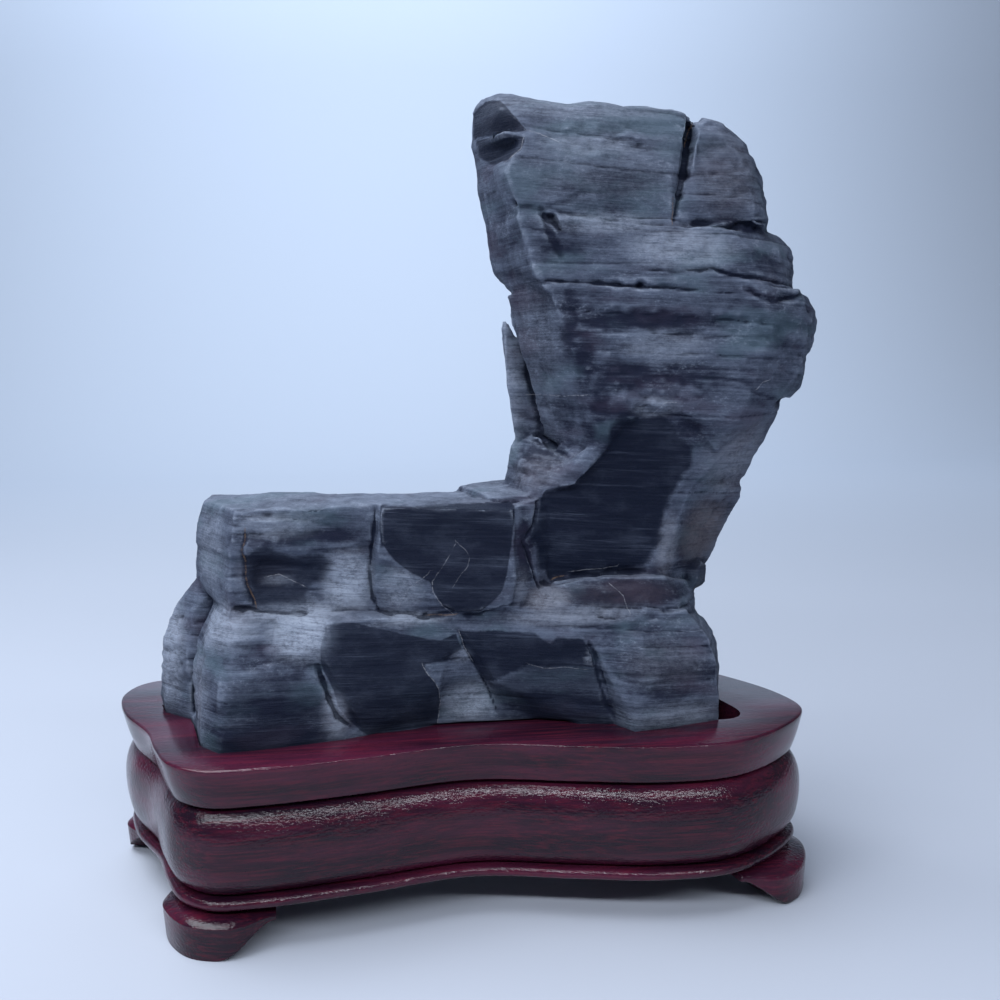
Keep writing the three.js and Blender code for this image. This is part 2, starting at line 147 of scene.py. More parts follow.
CLEAVAGE = {
    # Dark face of the neck; on its left it also paints the shade under the brow
    "neck": (
        [(55.6, 162.5), (65.9, 163.7), (69.4, 161.4), (73, 156.3), (77.4, 152.6), (77.5, 147.6),
         (74, 141.7), (70.6, 135.8), (68, 131.5), (67.2, 124.6), (67.4, 120.3), (64.6, 116),
         (61.5, 112.3), (55, 110.9), (43.6, 109.9), (28, 109.3), (24.6, 113), (22.9, 119.1), (21, 123.5),
         (22.1, 131.1), (24.3, 137.8), (29, 138.8), (37.5, 141.2), (41, 146.6), (45.3, 150.7),
         (47.3, 153.9), (47.8, 160.1), (51.2, 164.6)],
        (-26, -4), 1.0, 0.3, 2.6),
    "ledge_slab": (
        [(-28.6, 136.6), (-10, 136), (15.5, 135.5), (14.6, 128.5), (12.9, 118.4), (10.3, 107),
         (3.3, 101), (-5.2, 100.7), (-9.9, 103.7), (-12.5, 108.5), (-13.6, 111.7), (-18.9, 114.2),
         (-24.9, 119), (-28.6, 124.6), (-29.5, 130.7)],
        (-32, -14), 0.95, 0.2, 0.6),
    "front_slab_left": (
        [(-46.9, 99.5), (-43.5, 100.3), (-37.7, 99.6), (-23.4, 95), (-10.3, 91.5), (-5.1, 93.7),
         (-3.3, 88), (-6.5, 86), (-10.5, 84.5), (-15.8, 83.7), (-14.9, 80.8), (-12.6, 78.2),
         (-11.1, 75.2), (-10.5, 70), (-11.5, 61), (-33, 59), (-39.8, 65.4), (-43.9, 71),
         (-45.4, 77.3), (-47.3, 81.8), (-49.1, 86.5), (-49.1, 91.4)],
        (-34, -14), 0.9, 0.0, 0.6),
    "front_slab_right": (
        [(-4, 94.4), (10.1, 94.4), (20.3, 93.4), (24.2, 90.4), (26.5, 89.5), (28.1, 91.7),
         (36.7, 90.6), (40.4, 85.3), (41.4, 80.5), (31.3, 81.6), (24.3, 81.2), (18.8, 82.4),
         (12, 79), (5, 75), (1.3, 81.6), (-2, 88)],
        (-34, -14), 0.95, 0.15, 1.0),
    "front_slab_right_foot": (
        [(5, 75), (12, 79), (18.8, 82.4), (41.4, 80.5), (44.9, 67.2), (48, 59), (10, 59), (7, 70)],
        (-34, -12), 0.5, 0.0, 3.0),
    "peak_chip": (
        [(6, 266), (9.5, 268.5), (13.5, 267), (16.6, 261.5), (20.6, 255.6), (16.8, 255.2), (6, 257.6)],
        (-24, 12), 1.0, 0.2, 0.6),
    "peak_scoop": (
        [(6.5, 256.6), (16.7, 254.4), (19.9, 253), (18.7, 249.5), (14.4, 246.4), (11, 247.3),
         (7.5, 251)],
        (-24, 12), 0.9, 0.2, 0.7),
    # Partly a dark face, partly painted shade under the ledge's lip
    "ledge_hollow": (
        [(-73.5, 121.1), (-70.4, 123.1), (-65, 124.6), (-62.5, 122.2), (-57.2, 120.1), (-49.8, 121.1),
         (-44.6, 118.8), (-46, 114.7), (-50.8, 111.3), (-54, 107.3), (-52.4, 103.8), (-57.8, 102.6),
         (-65.2, 102.4), (-72.4, 104.5), (-73.4, 112.2)],
        (-24, -10), 0.85, 0.0, 2.4),
    "knob": (
        [(79, 111), (84, 112.5), (89.5, 110), (89, 101), (83.5, 99.5), (79, 104)],
        (-12, 12), 0.7, 0.0, 1.2),
    "corner_foot": (
        [(-77, 83), (-66, 85), (-55, 84.5), (-50, 77), (-47, 70), (-42, 63), (-56, 58), (-74, 58),
         (-79, 69)],
        (-40, -20), 0.45, 0.0, 4.0),
}

# Stone: pale dusty and brown earthy patches, as centre, radii, dust and earth; hollow_lens is a
# painted highlight on the ledge hollow's dark face

PATCHES = {
    "corner_top": ((-55, -26, 97), (12, 12, 11), 1.0, 0.0),
    "ledge_right": ((-40, -20, 112), (9, 8, 12), 1.0, 0.05),
    "ledge_foot": ((-58, -21, 102), (22, 8, 3.5), 0.8, 0.1),
    # Painted highlight: a pale blue-white lens on the dark face in the ledge's hollow
    "hollow_lens": ((-63, -19, 112.4), (6, 5, 2), 0.7, 0.0),
    "ledge_lip": ((-62, -21, 131), (15, 8, 5), 0.45, 0.0),
    "ledge_end": ((-86, -4, 121), (9, 18, 16), 0.3, 0.0),
    "left_lobe": ((-104, 8, 85), (8, 16, 22), 0.7, 0.0),
    "corner_left": ((-88, -16, 76), (7, 16, 15), 0.45, 0.0),
    "corner_shoulder": ((-80, -18, 98), (14, 18, 8), 0.6, 0.0),
    "slab_facet": ((-23, -24, 109), (8, 8, 9), 0.6, 0.0),
    "slab_crease": ((16, -16, 108), (5, 10, 9), 0.6, 0.35),
    "collar_left": ((26, -20, 103), (10, 10, 5), 0.5, 0.7),
    "collar_mid": ((52, -20, 104), (26, 10, 6), 0.0, 0.3),
    "slab_gap": ((-1, -20, 69), (10, 8, 8), 0.7, 0.1),
    "slab_gap_top": ((-3, -22, 86), (4, 6, 3), 0.6, 0.0),
    "slab_fillet": ((-45, -28, 70), (5, 8, 9), 0.75, 0.2),
    "rubble": ((27, -6, 144), (14, 14, 7), 0.1, 0.3),
    "tower_facet": ((26, -6, 186), (10, 20, 42), 0.15, 0.0),
    "tower_fin": ((18, 8, 172), (6, 10, 26), 0.35, 0.0),
    "neck_right": ((94, -6, 150), (16, 16, 17), 0.4, 0.35),
    "neck_right_foot": ((86, -5, 122), (14, 14, 14), 0.15, 0.9),
    "neck_edge": ((70, -13, 118), (5, 6, 12), 0.4, 0.5),
    "shoulder_ledge": ((46, -20, 227), (22, 6, 4), 0.6, 0.0),
    "shoulder_bloom": ((72, -20, 219), (20, 8, 8), 0.55, 0.0),
    "brow_bloom": ((66, -21, 187), (16, 6, 6), 0.35, 0.0),
    "brow_lens": ((63, -19, 167), (9, 6, 4), 0.6, 0.05),
    "peak_band": ((42, -19, 251), (20, 6, 4), 0.5, 0.0),
    "peak_top": ((40, -8, 265), (46, 24, 6), 0.35, 0.0),
    "peak_face": ((44, -18, 246), (36, 8, 17), 0.17, 0.0),
    "peak_right_face": ((88, -16, 243), (14, 8, 17), 0.15, 0.25),
    "lump_foot": ((66, -32, 64), (18, 10, 6), 0.4, 0.0),
    "lump_front": ((64, -32, 82), (16, 10, 10), 0.15, 0.15),
    "grain_ledge": ((34, -22, 98), (24, 8, 4), 0.5, 0.35),
    "slab_ledge": ((-22, -22, 99), (16, 8, 2.5), 0.75, 0.2),
    "hollow_earth": ((-66, -19, 116), (10, 8, 8), 0.0, 0.5),
    "back_ledge": ((-50, 18, 126), (34, 10, 6), 0.6, 0.0),
    "back_bloom": ((62, 26, 205), (24, 10, 13), 0.6, 0.0),
    "back_foot": ((-10, 24, 93), (40, 10, 5), 0.7, 0.1),
    "back_neck": ((78, 21, 140), (18, 10, 14), 0.5, 0.3),
    "back_peak": ((48, 22, 252), (24, 10, 7), 0.4, 0.0),
    "back_left": ((-92, 22, 78), (10, 12, 14), 0.6, 0.0),
}

# Stone: darker places, as centre, radii and amount: darker beds and blotches, stone darker towards
# its bottom, and painted shade along the tower facet's arris, in a crease, under the brow and the peak

SHADES = {
    # Painted shade along the arris where the tower's left facet meets its front
    "facet_edge_high": ((34, -21, 194), (4, 6, 13), 0.6),
    "facet_edge": ((39, -21, 181), (4, 6, 14), 0.7),
    "facet_edge_low": ((44, -21, 168), (4, 6, 14), 0.7),
    "facet_edge_foot": ((48, -20, 157), (4, 6, 12), 0.6),
    "brow_wave": ((60, -21, 195), (32, 6, 3.2), 0.75),
    "brow_low": ((60, -21, 177), (26, 6, 4.5), 0.55),
    # Darker top of the neck, partly painted shade under the brow
    "brow_foot": ((58, -19, 160), (30, 6, 9), 0.6),
    "brow_right": ((104, -16, 196), (10, 10, 12), 0.4),
    # Painted shade under the peak's overhang
    "under_peak": ((92, -18, 226.6), (17, 8, 2.2), 0.85),
    "shoulder_right": ((96, -17, 214), (14, 8, 5), 0.45),
    "shoulder_left": ((30, -20, 219), (8, 6, 9), 0.35),
    "peak_mid": ((48, -18, 239), (26, 5, 6), 0.4),
    "peak_right": ((88, -16, 236), (12, 6, 8), 0.35),
    "ledge_bed": ((-56, -22, 127), (26, 6, 2.6), 0.7),
    "ledge_top_bed": ((-54, -22, 133.4), (20, 6, 1.6), 0.5),
    "corner_bed": ((-66, -32, 75), (20, 8, 5), 0.6),
    "corner_bed_top": ((-62, -29, 83), (10, 8, 2), 0.5),
    "collar": ((50, -20, 103.5), (30, 9, 5), 0.8),
    "lump_bed": ((62, -35, 75), (16, 6, 4), 0.4),
    "lump_top": ((58, -30, 91), (22, 9, 4), 0.35),
    "facet_foot": ((33, -10, 162), (6, 8, 12), 0.3),
    "facet": ((24, -8, 200), (12, 18, 42), 0.25),
    "lump_face": ((66, -33, 82), (20, 8, 14), 0.6),
    "corner_bottom": ((-68, -35, 64), (24, 9, 8), 1.0),
    "middle_bottom": ((28, -26, 66), (22, 9, 8), 1.0),
    # Painted shade in the crease left of the neck
    "crease": ((18.5, -20, 121), (3.4, 6, 13), 1.0),
    "rubble": ((28, -4, 150), (10, 12, 7), 0.7),
    "neck_right_foot": ((80, -7, 119), (9, 9, 12), 0.7),
    "back_brow": ((76, 25, 178), (30, 9, 12), 0.9),
    "back_base": ((0, 25, 70), (50, 9, 9), 1.0),
    "back_slab": ((20, 21, 116), (36, 9, 11), 0.9),
    "back_end": ((86, 18, 244), (14, 9, 12), 0.6),
    "back_band": ((40, 25, 226), (26, 9, 4), 0.8),
}

# Stone: places where weather has rounded everything, as centre and radii

ROUNDED = {
    "neck_arch": ((63, -18, 160), (30, 10, 17)),
    "ledge_hollow": ((-58, -20, 112), (22, 8, 15)),
    "corner_fillet": ((-47, -26, 73), (8, 8, 15)),
    "corner_recess": ((-54, -24, 95), (10, 9, 9)),
    "rubble": ((28, -8, 146), (17, 15, 10)),
    "grain_ledge": ((28, -23, 97), (42, 8, 5)),
    "crease": ((18, -18, 118), (6, 8, 20)),
    "gap": ((-2, -20, 78), (11, 8, 18)),
    "peak_crack": ((72, -16, 240), (5, 10, 20)),
    "corner_edge": ((-82, -32, 78), (8, 8, 20)),
    "slab_edge": ((-49, -29, 93), (4, 4, 8)),
    "lump_nose": ((53, -34, 69), (8, 7, 13)),
    "facet_edge": ((37, -20, 184), (9, 7, 28)),
    "back_base": ((-2, 28, 82), (105, 11, 26)),
    "back_tower": ((70, 29, 200), (62, 13, 82)),
    "back_end": ((116, 17, 195), (14, 14, 60)),
}

# Stone: cracks, open bedding planes and seams as line, width, depth and the way they face

GROOVES = {
    "peak_crack": ([(76.4, -14, 262), (75, -15, 253), (74, -16, 247), (72.4, -17, 240),
                    (70.6, -18, 233), (69, -19, 227)], 0.9, 1.6, FRONT),
    "bed_left": ([(24, -21, 208.2), (38, -21, 208), (49, -21, 207.4), (55, -22, 206.5),
                  (63, -22, 206.2), (76, -22, 205.4)], 1.0, 1.7, FRONT),
    "bed_right": ([(58, -22, 211.8), (69, -22, 211), (78, -22, 211.8), (82, -22, 212.2),
                   (87, -21, 210.4), (100, -18, 208.6), (114, -10, 207)], 1.0, 1.6, FRONT),
    "bed_thin": ([(26, -21, 214.4), (38, -21, 213.8), (52, -21, 214), (70, -21, 213.4)], 0.7, 0.7, FRONT),
    "bed_wave": ([(31, -22, 196.6), (41, -22, 195), (50, -22, 195.6), (64, -22, 194.8),
                  (87, -21, 193.2), (104, -18, 191.5)], 4.2, 1.3, FRONT),
    "bed_wave_low": ([(66, -21, 190.8), (83, -21, 189.6), (101, -20, 188)], 2.2, 0.9, FRONT),
    "bed_wave_foot": ([(36, -21, 183), (52, -21, 181), (66, -21, 182), (80, -21, 180)], 3.4, 0.8, FRONT),
    "peak_under": ([(70, -20, 227.2), (80, -20, 227.4), (88, -20, 226.4), (96, -18, 227.4),
                    (108, -4, 229.4)], 1.5, 2.4, FRONT),
    "peak_foot": ([(16, -19, 232), (28, -20, 231), (37, -20, 229.2), (47, -20, 228.6),
                   (56, -20, 227.2), (68, -20, 226.8)], 1.0, 1.0, FRONT),
    "brow_scallop": ([(93, -21, 206), (98.5, -21, 202.8), (104.8, -19, 201.6), (111, -17, 202.8),
                      (117, -12, 204.7)], 1.3, 1.4, FRONT),
    "ledge_crack": ([(24, -16, 137), (22.2, -17, 128.5), (17.6, -19, 123.2), (19.8, -18, 119.5),
                     (22, -17, 113.4), (23.8, -16, 107)], 0.7, 1.6, FRONT),
    "collar_seam": ([(24, -15, 107.6), (29, -15, 109), (38, -15, 110), (49, -15, 110.6),
                     (62, -14, 110)], 0.9, 2.0, FRONT),
    "ledge_seam": ([(-72.3, -22, 130), (-72.2, -22, 126.6), (-73.6, -22, 123), (-72.4, -21, 119.6),
                    (-72.8, -21, 115), (-72.2, -21, 111), (-70.3, -21, 107), (-69.8, -21, 104)],
                   0.7, 0.9, FRONT),
    "ledge_foot": ([(-78, -21, 104), (-71.5, -21, 103.8), (-68, -21, 102.8), (-59, -21, 102.4),
                    (-52, -21, 102.4)], 1.1, 2.2, FRONT),
    "slab_side": ([(-30.4, -23, 136), (-31.6, -22, 127), (-33, -21, 116), (-32.6, -21, 106),
                   (-30, -21, 101)], 0.6, 1.1, FRONT),
    "slab_foot": ([(-31, -22, 102), (-24, -23, 99.4), (-14, -24, 99.6), (-5, -25, 100), (3, -25, 99.8),
                   (11, -24, 102), (17, -22, 103)], 0.7, 1.0, FRONT),
    "corner_groove": ([(-50.4, -24, 85.4), (-48.2, -25, 79.7), (-46.2, -25, 73.7), (-44, -27, 68),
                       (-39.5, -27, 63.8)], 1.0, 2.2, FRONT),
    "slab_split": ([(-4.4, -24, 95), (-2, -23, 88), (1.3, -21, 81.6), (6, -19, 72), (9.6, -20, 63)],
                   0.6, 1.0, FRONT),
    "lump_side": ([(38, -27, 91), (40.6, -28, 85.3), (41.8, -28, 78), (45, -28, 67), (49, -31, 61)],
                  0.9, 1.0, FRONT),
    "facet_edge": ([(26, -21, 206), (30.4, -21, 199), (34.4, -21, 187), (38.4, -21, 177),
                    (42.4, -20, 167), (45.4, -18, 157)], 2.6, 0.45, FRONT),
    "fin_gap": ([(17, 4, 195), (21, 4.5, 183), (24, 4.5, 171), (27, 5, 158)], 1.6, 2.6, LEFT_FRONT),
    "lobe_crack": ([(-91.7, -7, 86), (-94.4, -1, 76), (-95.2, -1, 60)], 1.1, 2.6, LEFT_FRONT),
    "shoulder_streak": ([(24.8, -20.5, 231), (26.7, -20.9, 226.7), (28.3, -20.8, 222.4),
                         (30.3, -20.6, 218.6), (32.3, -20.4, 215.2)], 1.5, 1.3, FRONT),
    "rubble_crack": ([(25.3, 4.5, 156), (27.4, -0.3, 154.5), (32.4, -5.8, 151.7), (35.2, -11.3, 150)],
                     1.1, 1.8, LEFT_FRONT),
    "collar_notch": ([(65, -23.6, 98.4), (69, -22.5, 98.4), (73, -20.6, 98.8), (78, -13.3, 98)],
                     0.9, 1.3, FRONT),
    "collar_low": ([(42.4, -26.5, 97.9), (45, -26.6, 97.2), (48.8, -26.6, 96.9)], 0.6, 0.9, FRONT),
    "lump_crack": ([(74.6, -32, 82.3), (78, -31, 78), (80.8, -31, 74.3)], 0.6, 0.5, FRONT),
}

# Stone: dents and, with a negative depth, swellings, as centre, radii and depth

DENTS = {
    "crack_pit_top": ((75.2, -15, 251), (1.7, 4, 2), 1.2),
    "crack_pit": ((73.6, -17, 243), (2, 4, 3), 1.6),
    "crack_pit_low": ((71.4, -18, 236), (2, 4, 2.4), 1.5),
    "bed_pit": ((57.4, -22, 207.2), (2.4, 5, 1.8), 2.6),
    "facet_pit": ((16.4, -17.5, 233), (2.2, 3, 1.8), 1.8),
    "lip_chip_left": ((-74, -21, 136), (6, 4, 2.4), 1.0),
    "lip_chip": ((-64, -22, 134.6), (8, 4, 2.6), 1.6),
    "lip_chip_right": ((-50, -22, 135.6), (7, 4, 2.2), 1.3),
    "brow_lens": ((64, -21, 168.6), (8, 4, 3.4), -0.9),
    "right_notch": ((111.6, -4, 167), (10, 20, 2.3), 3.6),
    "right_brow": ((119, -6, 174), (11, 16, 8), -1.5),
    "right_lip": ((108, -8, 163.4), (8, 14, 2.8), -0.9),
    "peak_knob_left": ((37, -18, 257), (4, 4, 3), 0.8),
    "peak_knob": ((43, -18, 256), (3, 4, 3.4), -0.7),
    "peak_dimple": ((50, -18, 249), (3.4, 4, 2.4), 0.7),
    "peak_dimple_right": ((58, -18, 252), (3, 4, 2.2), 0.6),
    "peak_swell": ((32, -19, 252), (9, 4, 2.4), -0.7),
    "shoulder_swell": ((76, -20, 220), (10, 5, 5), -0.9),
    "brow_dish": ((48, -21, 188), (14, 6, 5), 0.9),
    "brow_bite": ((108, -17, 203), (7, 6, 2.6), 1.4),
    "corner_dish": ((-66, -28, 88), (9, 8, 5), 1.2),
    "slab_dish": ((-22, -26, 86), (14, 6, 8), 0.5),
    "neck_dish": ((50, -15, 130), (16, 6, 16), 0.5),
    "notch_left": ((9, 4, 212), (5, 8, 4), 1.4),
}

# Stone: knobbly places, as centre, radii and height of the knobs

KNOBBLY = {
    "peak": ((42, -18, 253), (20, 7, 9), 0.9),
    "peak_right": ((88, -15, 244), (13, 8, 15), 0.5),
    "rubble": ((26, -4, 147), (14, 14, 10), 1.2),
    "left_lobe": ((-104, 6, 85), (10, 18, 24), 0.8),
    "corner_left": ((-90, -16, 80), (8, 18, 20), 0.6),
    "brow_foot": ((62, -20, 171), (26, 7, 8), 0.9),
    "shoulder": ((74, -20, 219), (22, 7, 7), 0.7),
    "neck_right": ((94, -4, 145), (14, 14, 30), 0.7),
    "collar": ((48, -22, 100), (36, 9, 7), 0.7),
    "ledge_lip": ((-62, -21, 130), (20, 8, 8), 0.7),
    "corner": ((-66, -28, 92), (14, 10, 10), 0.8),
    "right_end": ((120, 4, 195), (14, 26, 50), 0.7),
    "lump_end": ((88, 2, 78), (10, 20, 18), 0.6),
    "peak_end": ((104, 0, 244), (10, 20, 18), 0.6),
}

# Stone: hairline veins, branches that leave them, and rusty seams, with the way they face

VEINS = [
    ([(-4.5, -26, 124.2), (-8.1, -26, 117.7), (-12.8, -26, 111.7), (-12.5, -26, 107.8),
      (-9.2, -26, 103), (-6, -26, 100)], FRONT),
    ([(-16.4, -26, 83.9), (-14.9, -26, 80.9), (-12.6, -26, 78.2), (-11.1, -25, 75.2),
      (-10.3, -22, 69.8), (-11.5, -21, 62)], FRONT),
    ([(18.8, -27, 82.6), (24.3, -27, 80.8), (31.3, -27, 81.3), (37.7, -28, 80.1)], FRONT),
    ([(24, 7, 170.8), (29, -4, 171), (34, -13, 170.9), (40, -21, 171.2)], LEFT_FRONT),
    ([(63.5, -17, 165), (66.4, -21, 168.4), (70.8, -21, 168.4)], FRONT),
    ([(-66, -18, 113.6), (-62.3, -18, 114.2), (-58.3, -18, 112.3), (-54.4, -19, 110.2)], FRONT),
    ([(47.6, -21, 107.6), (51.9, -23, 103.6), (53.7, -25, 98)], FRONT),
    ([(-4.2, -24, 94.5), (-2, -23, 88), (0.4, -21, 83.6)], FRONT),
    ([(35, -15.4, 111), (41, -15.2, 111.6), (46, -15, 111.6), (52, -14.6, 112.4)], FRONT),
    ([(98, -20, 172.4), (99.2, -20, 174), (100.6, -20, 175), (103, -19, 175.4)], FRONT),
    ([(20.5, -19, 255.6), (26, -19, 254), (31.6, -19, 251.6)], FRONT),
]
BRANCHES = [
    ([(-4.5, -26, 124.2), (-1.8, -26, 122.2), (-0.1, -26, 119), (-1.2, -26, 116.1),
      (-4.5, -26, 112.2), (-6, -26, 109.2)], FRONT),
    ([(-13.5, -26, 114.5), (-20.4, -25, 109.3), (-23.7, -23, 102.8)], FRONT),
    ([(19.6, -19, 253), (18.6, -19, 249.5), (14.2, -16, 246.2)], FRONT),
]
RUST_SEAMS = [
    (GROOVES["ledge_seam"][0], FRONT),
    ([(77.4, -12, 260), (75, -14, 253)], FRONT),
    ([(68.8, -19, 235), (68.4, -19, 227)], FRONT),
    ([(-14, -24, 99.8), (-9, -25, 99.6), (-5, -25, 99.8)], FRONT),
    ([(29, -15, 108.8), (33, -16, 109.6)], FRONT),
]

# Stone: what its points store for its material

STORED = ("cleavage", "cleavage_tone", "crest", "dust", "earth", "shade", "vein", "vein_near",
          "branch", "branch_near", "rust", "rust_near")

# Stone: its roughness, as noise of several sizes: cell along x, y and z, height and seed. The beds'
# cells and the parting's have the height in the beds for z.

LUMPS = (((13, 13, 8), 1.0, 1), ((6, 6, 3.4), 0.5, 2), ((2.6, 2.6, 1.8), 0.25, 3))
BEDS = (((60, 60, 15), 1.0, 4), ((40, 40, 7.5), 0.9, 5), ((26, 26, 3.4), 0.4, 9),
        ((14, 14, 1.6), 0.16, 12))
PARTINGS = (((70, 70, 6.5), 1.0, 10),)
FLUTES = (((2.6, 2.6, 34), 0.6, 6),)
BACK_SWELL = (((38, 38, 20), 2.4, 15), ((16, 16, 9), 1.1, 16))
KNOBS = (((5, 5, 3.2), 1.0, 13), ((2.6, 2.6, 1.7), 0.6, 14))
BED_DIP = 0.06
BED_ROLL = (((55, 55, 40), 1.6, 11),)
PARTING_DEPTH = 0.5
BACK_ROUGHER = 0.5
SPLIT_SMOOTHER = 0.85

# Stone: cracks wander by a share of their width, have a mean share of their depth and pinch by
# another, and fade over a share of their length to the share of their depth at the ends

CRACK_WANDER = 0.45
CRACK_MEAN = 0.75
CRACK_PINCH = 0.35
CRACK_FADE = 0.08
CRACK_END = 0.35

# Stone: shares of their radii between which the places of each kind fade out

PATCH_FADE = (0.35, 1.25)
ROUNDED_FADE = (0.6, 1.1)
DENT_FADE = (0, 1)
KNOBBLY_FADE = (0.5, 1.1)

# Stone: how far in front of or behind a line the surface may lie, how far veins are looked for, and
# the distances between which they fade out

LINE_DEPTH = 7.0
VEIN_REACH = 8.0
VEIN_FADE = (0.5, 1.1)

# Stone: how far past its outline a split face reaches, how far it may turn to the back, and the
# distances inside its outline between which it sinks

FACE_MARGIN = 12.0
FACE_TURN = 0.3
FACE_SINK = (-0.5, 0.8)

# Stone: rounds of smoothing that crests stand out from, dust that lies on level stone, and the share
# of a split face's darkness that a full pale patch hides, dust and painted highlight alike

CREST_ROUNDS = 8
LEVEL_DUST = 0.22
DUST_HIDES = 0.8

# Stone: lift of the peak's worn top edge along x, and the heights between which it comes in

TOP_EDGE_Z = (254, 264)
TOP_EDGE_X = (4, 12, 18, 24, 31, 36, 43, 48, 54, 62, 69, 74, 78)
TOP_EDGE_LIFT = (-0.3, -0.2, 0.4, 0.2, -0.2, -0.8, 0.5, 0.2, -0.6, 0.9, 0.7, 0.0, 0.0)

# Plan outlines below are moved by this, which centres the part's box on the origin

PLACE = (1.78, -1.06)

# Stand: lobed outline of the rim, and the carved profile from the underside up as runs of
# (distance outside the outline, height) that meet at sharp quirks

RIM_OUTLINE = (
    (-86, -49.5), (-69, -49.8), (-40, -45.5), (-3, -39), (30, -45.5), (56, -50.3), (82, -48.8),
    (103, -36), (115, -20), (113, -2), (101, 21), (86, 40), (62, 49), (34, 45), (2, 40),
    (-34, 44), (-72, 50), (-104, 52), (-122, 46), (-127, 33), (-122, 11), (-110, -11),
    (-104.5, -27), (-97.5, -41.5))
STAND_TOP = 61.0
RIM_FOOT = 48.0
BELLY_TOP = 46.0
POCKET_FLOOR = 50.0
POCKET_CLEARANCE = 0.7
STAND_RUNS = (
    ((-8.5, 13.2), (-6.6, 13.9), (-3.4, 14.5)),
    ((-3.4, 14.5), (-2.2, 15.2), (-1.9, 16.4), (-2.6, 17.7), (-6.2, 18.3)),
    ((-6.2, 18.3), (-4.2, 19.6), (-1.9, 23), (-0.7, 28.5), (-0.4, 34), (-0.9, 39), (-2.3, 43),
     (-4.2, 45.6), (-7, 47)),
    ((-7, 47), (-3.9, 47.5)),
    ((-3.9, 47.5), (-3.4, 47.8), (-3.2, 48.3)),
    ((-3.2, 48.3), (-1.9, 52.2), (-0.9, 56.2), (-0.1, 59.8)),
    ((-0.1, 59.8), (-0.2, 60.6), (-0.9, STAND_TOP)),
)
STONE_FOOT = (
    (-83, -34.6), (-72, -33.6), (-56, -30.6), (-44, -27.6), (-34, -23.8), (-22, -21.6), (-13, -17.8),
    (8, -14.8), (29, -19.6), (34, -24.6), (46, -26.6), (51, -35), (64, -32.6), (82, -27.6),
    (84.4, -27.6), (87.2, -27), (89.4, -25.4), (90.7, -23), (91.1, -20), (90.7, -16.4), (89.6, -12),
    (88.6, -8), (86, 17), (60, 24), (20, 21), (-25, 24),
    (-70, 22), (-103, 25.5), (-109.6, 17), (-107, 9.4), (-97, 0.4), (-94.8, -6), (-89.6, -26.8))

# Feet: outer edge of each in plan, and the shape they share

FEET = {
    "foot_front_left": ((-106.5, -20), (-103, -34), (-94, -47), (-82, -51.2), (-66, -50.2)),
    "foot_front_right": ((87, -48), (99, -44.4), (109, -37.4), (116, -22), (114.5, -5)),
    "foot_back_right": ((106, 15), (99, 33), (85, 45), (70, 50), (55, 49.4)),
    "foot_back_left": ((-90, 52.2), (-105, 53.4), (-120, 48.5), (-128.4, 35), (-125.9, 19)),
}
FOOT_TOP = 12.9
FOOT_DEPTH = 17.0
FOOT_LEDGE = 11.6
FOOT_LEDGE_WIDTH = 5.0
FOOT_TIP = 2.2
FOOT_TAPER = 0.32
FOOT_ARRIS = 0.8
FOOT_BATTER = 0.6
FOOT_STEPS = 40

# Curves: points between two given ones, and the angles past which carved edges stay crisp and feet
# get an arris

CURVE_STEPS = 40
CARVED_SHARP = math.radians(38)
ARRIS_SHARP = math.radians(40)

# Stage, in metres: floor, the bend up into the wall, and lamps as place, target, size and settings

FLOOR_HALF_WIDTH = 4.0
FLOOR_FRONT = -2.5
FLOOR_BACK = 1.4
BEND_RADIUS = 0.9
BEND_STEPS = 24
BEND_SHARP = math.radians(60)
WALL_HEIGHT = 2.5
LAMPS = {
    "soft_top": ((-0.4, -0.02, 1.0), (0, 0, 0.1), (0.9, 0.7), "top_power", "light_colour"),
    "strip_front": ((-0.2, -0.85, 0.85), (0, 0, 0.06), (2.4, 0.1), "strip_power", "light_colour"),
    "backdrop_wash": ((0, 1.2, 1.6), (0, 2.3, 0.6), (2.0, 0.6), "backdrop_power", "backdrop_colour"),
}

# Camera: place, and how far it is turned, tipped down and rolled

CAMERA_PLACE = (-31.42, -362.46, 181.0)
CAMERA_TURN = math.radians(7.0)
CAMERA_TIP = math.radians(7.27)
CAMERA_ROLL = math.radians(0.6)


# Arithmetic on points


def ramp(low, high, value):
    """0 below low, 1 above high, and a soft step between them."""
    share = np.clip((value - low) / (high - low), 0, 1)
    return share * share * (3 - 2 * share)


def noise(points, seed):
    """Smooth noise from -1 to 1 with one cell to the unit, the same at every run."""
    cell = np.floor(points).astype(np.int64)
    share = points - cell
    share = share * share * (3 - 2 * share)
    total = np.zeros(len(points))
    for corner in itertools.product((0, 1), repeat=3):
        key = (cell + corner) @ np.array((73856093, 19349663, 83492791)) + seed * 2654435761
        key = (key ^ (key >> 15)) * 2246822519 & 0xFFFFFFFF
        key = (key ^ (key >> 13)) * 3266489917 & 0xFFFFFFFF
        weight = np.prod(np.where(corner, share, 1 - share), axis=1)
        total += weight * ((key >> 8) / 8388608.0 - 1)
    return total


def rough(points, waves):
    """Noise of several sizes, each as its cell, height and seed."""
    return sum(height * noise(points / cell, seed) for cell, height, seed in waves)


def within(points, centre, radii, full, none):
    """1 in an egg-shaped place up to one share of its radii, falling to 0 at another."""
    return 1 - ramp(full, none, np.linalg.norm((points - centre) / radii, axis=1))


def facing_plane(points, facing):
    """Points seen along a level direction: across and up in that view, and towards the viewer."""
    fx, fy = facing
    return np.stack((points[:, 1] * fx - points[:, 0] * fy, points[:, 2]), axis=1), \
        points[:, 0] * fx + points[:, 1] * fy


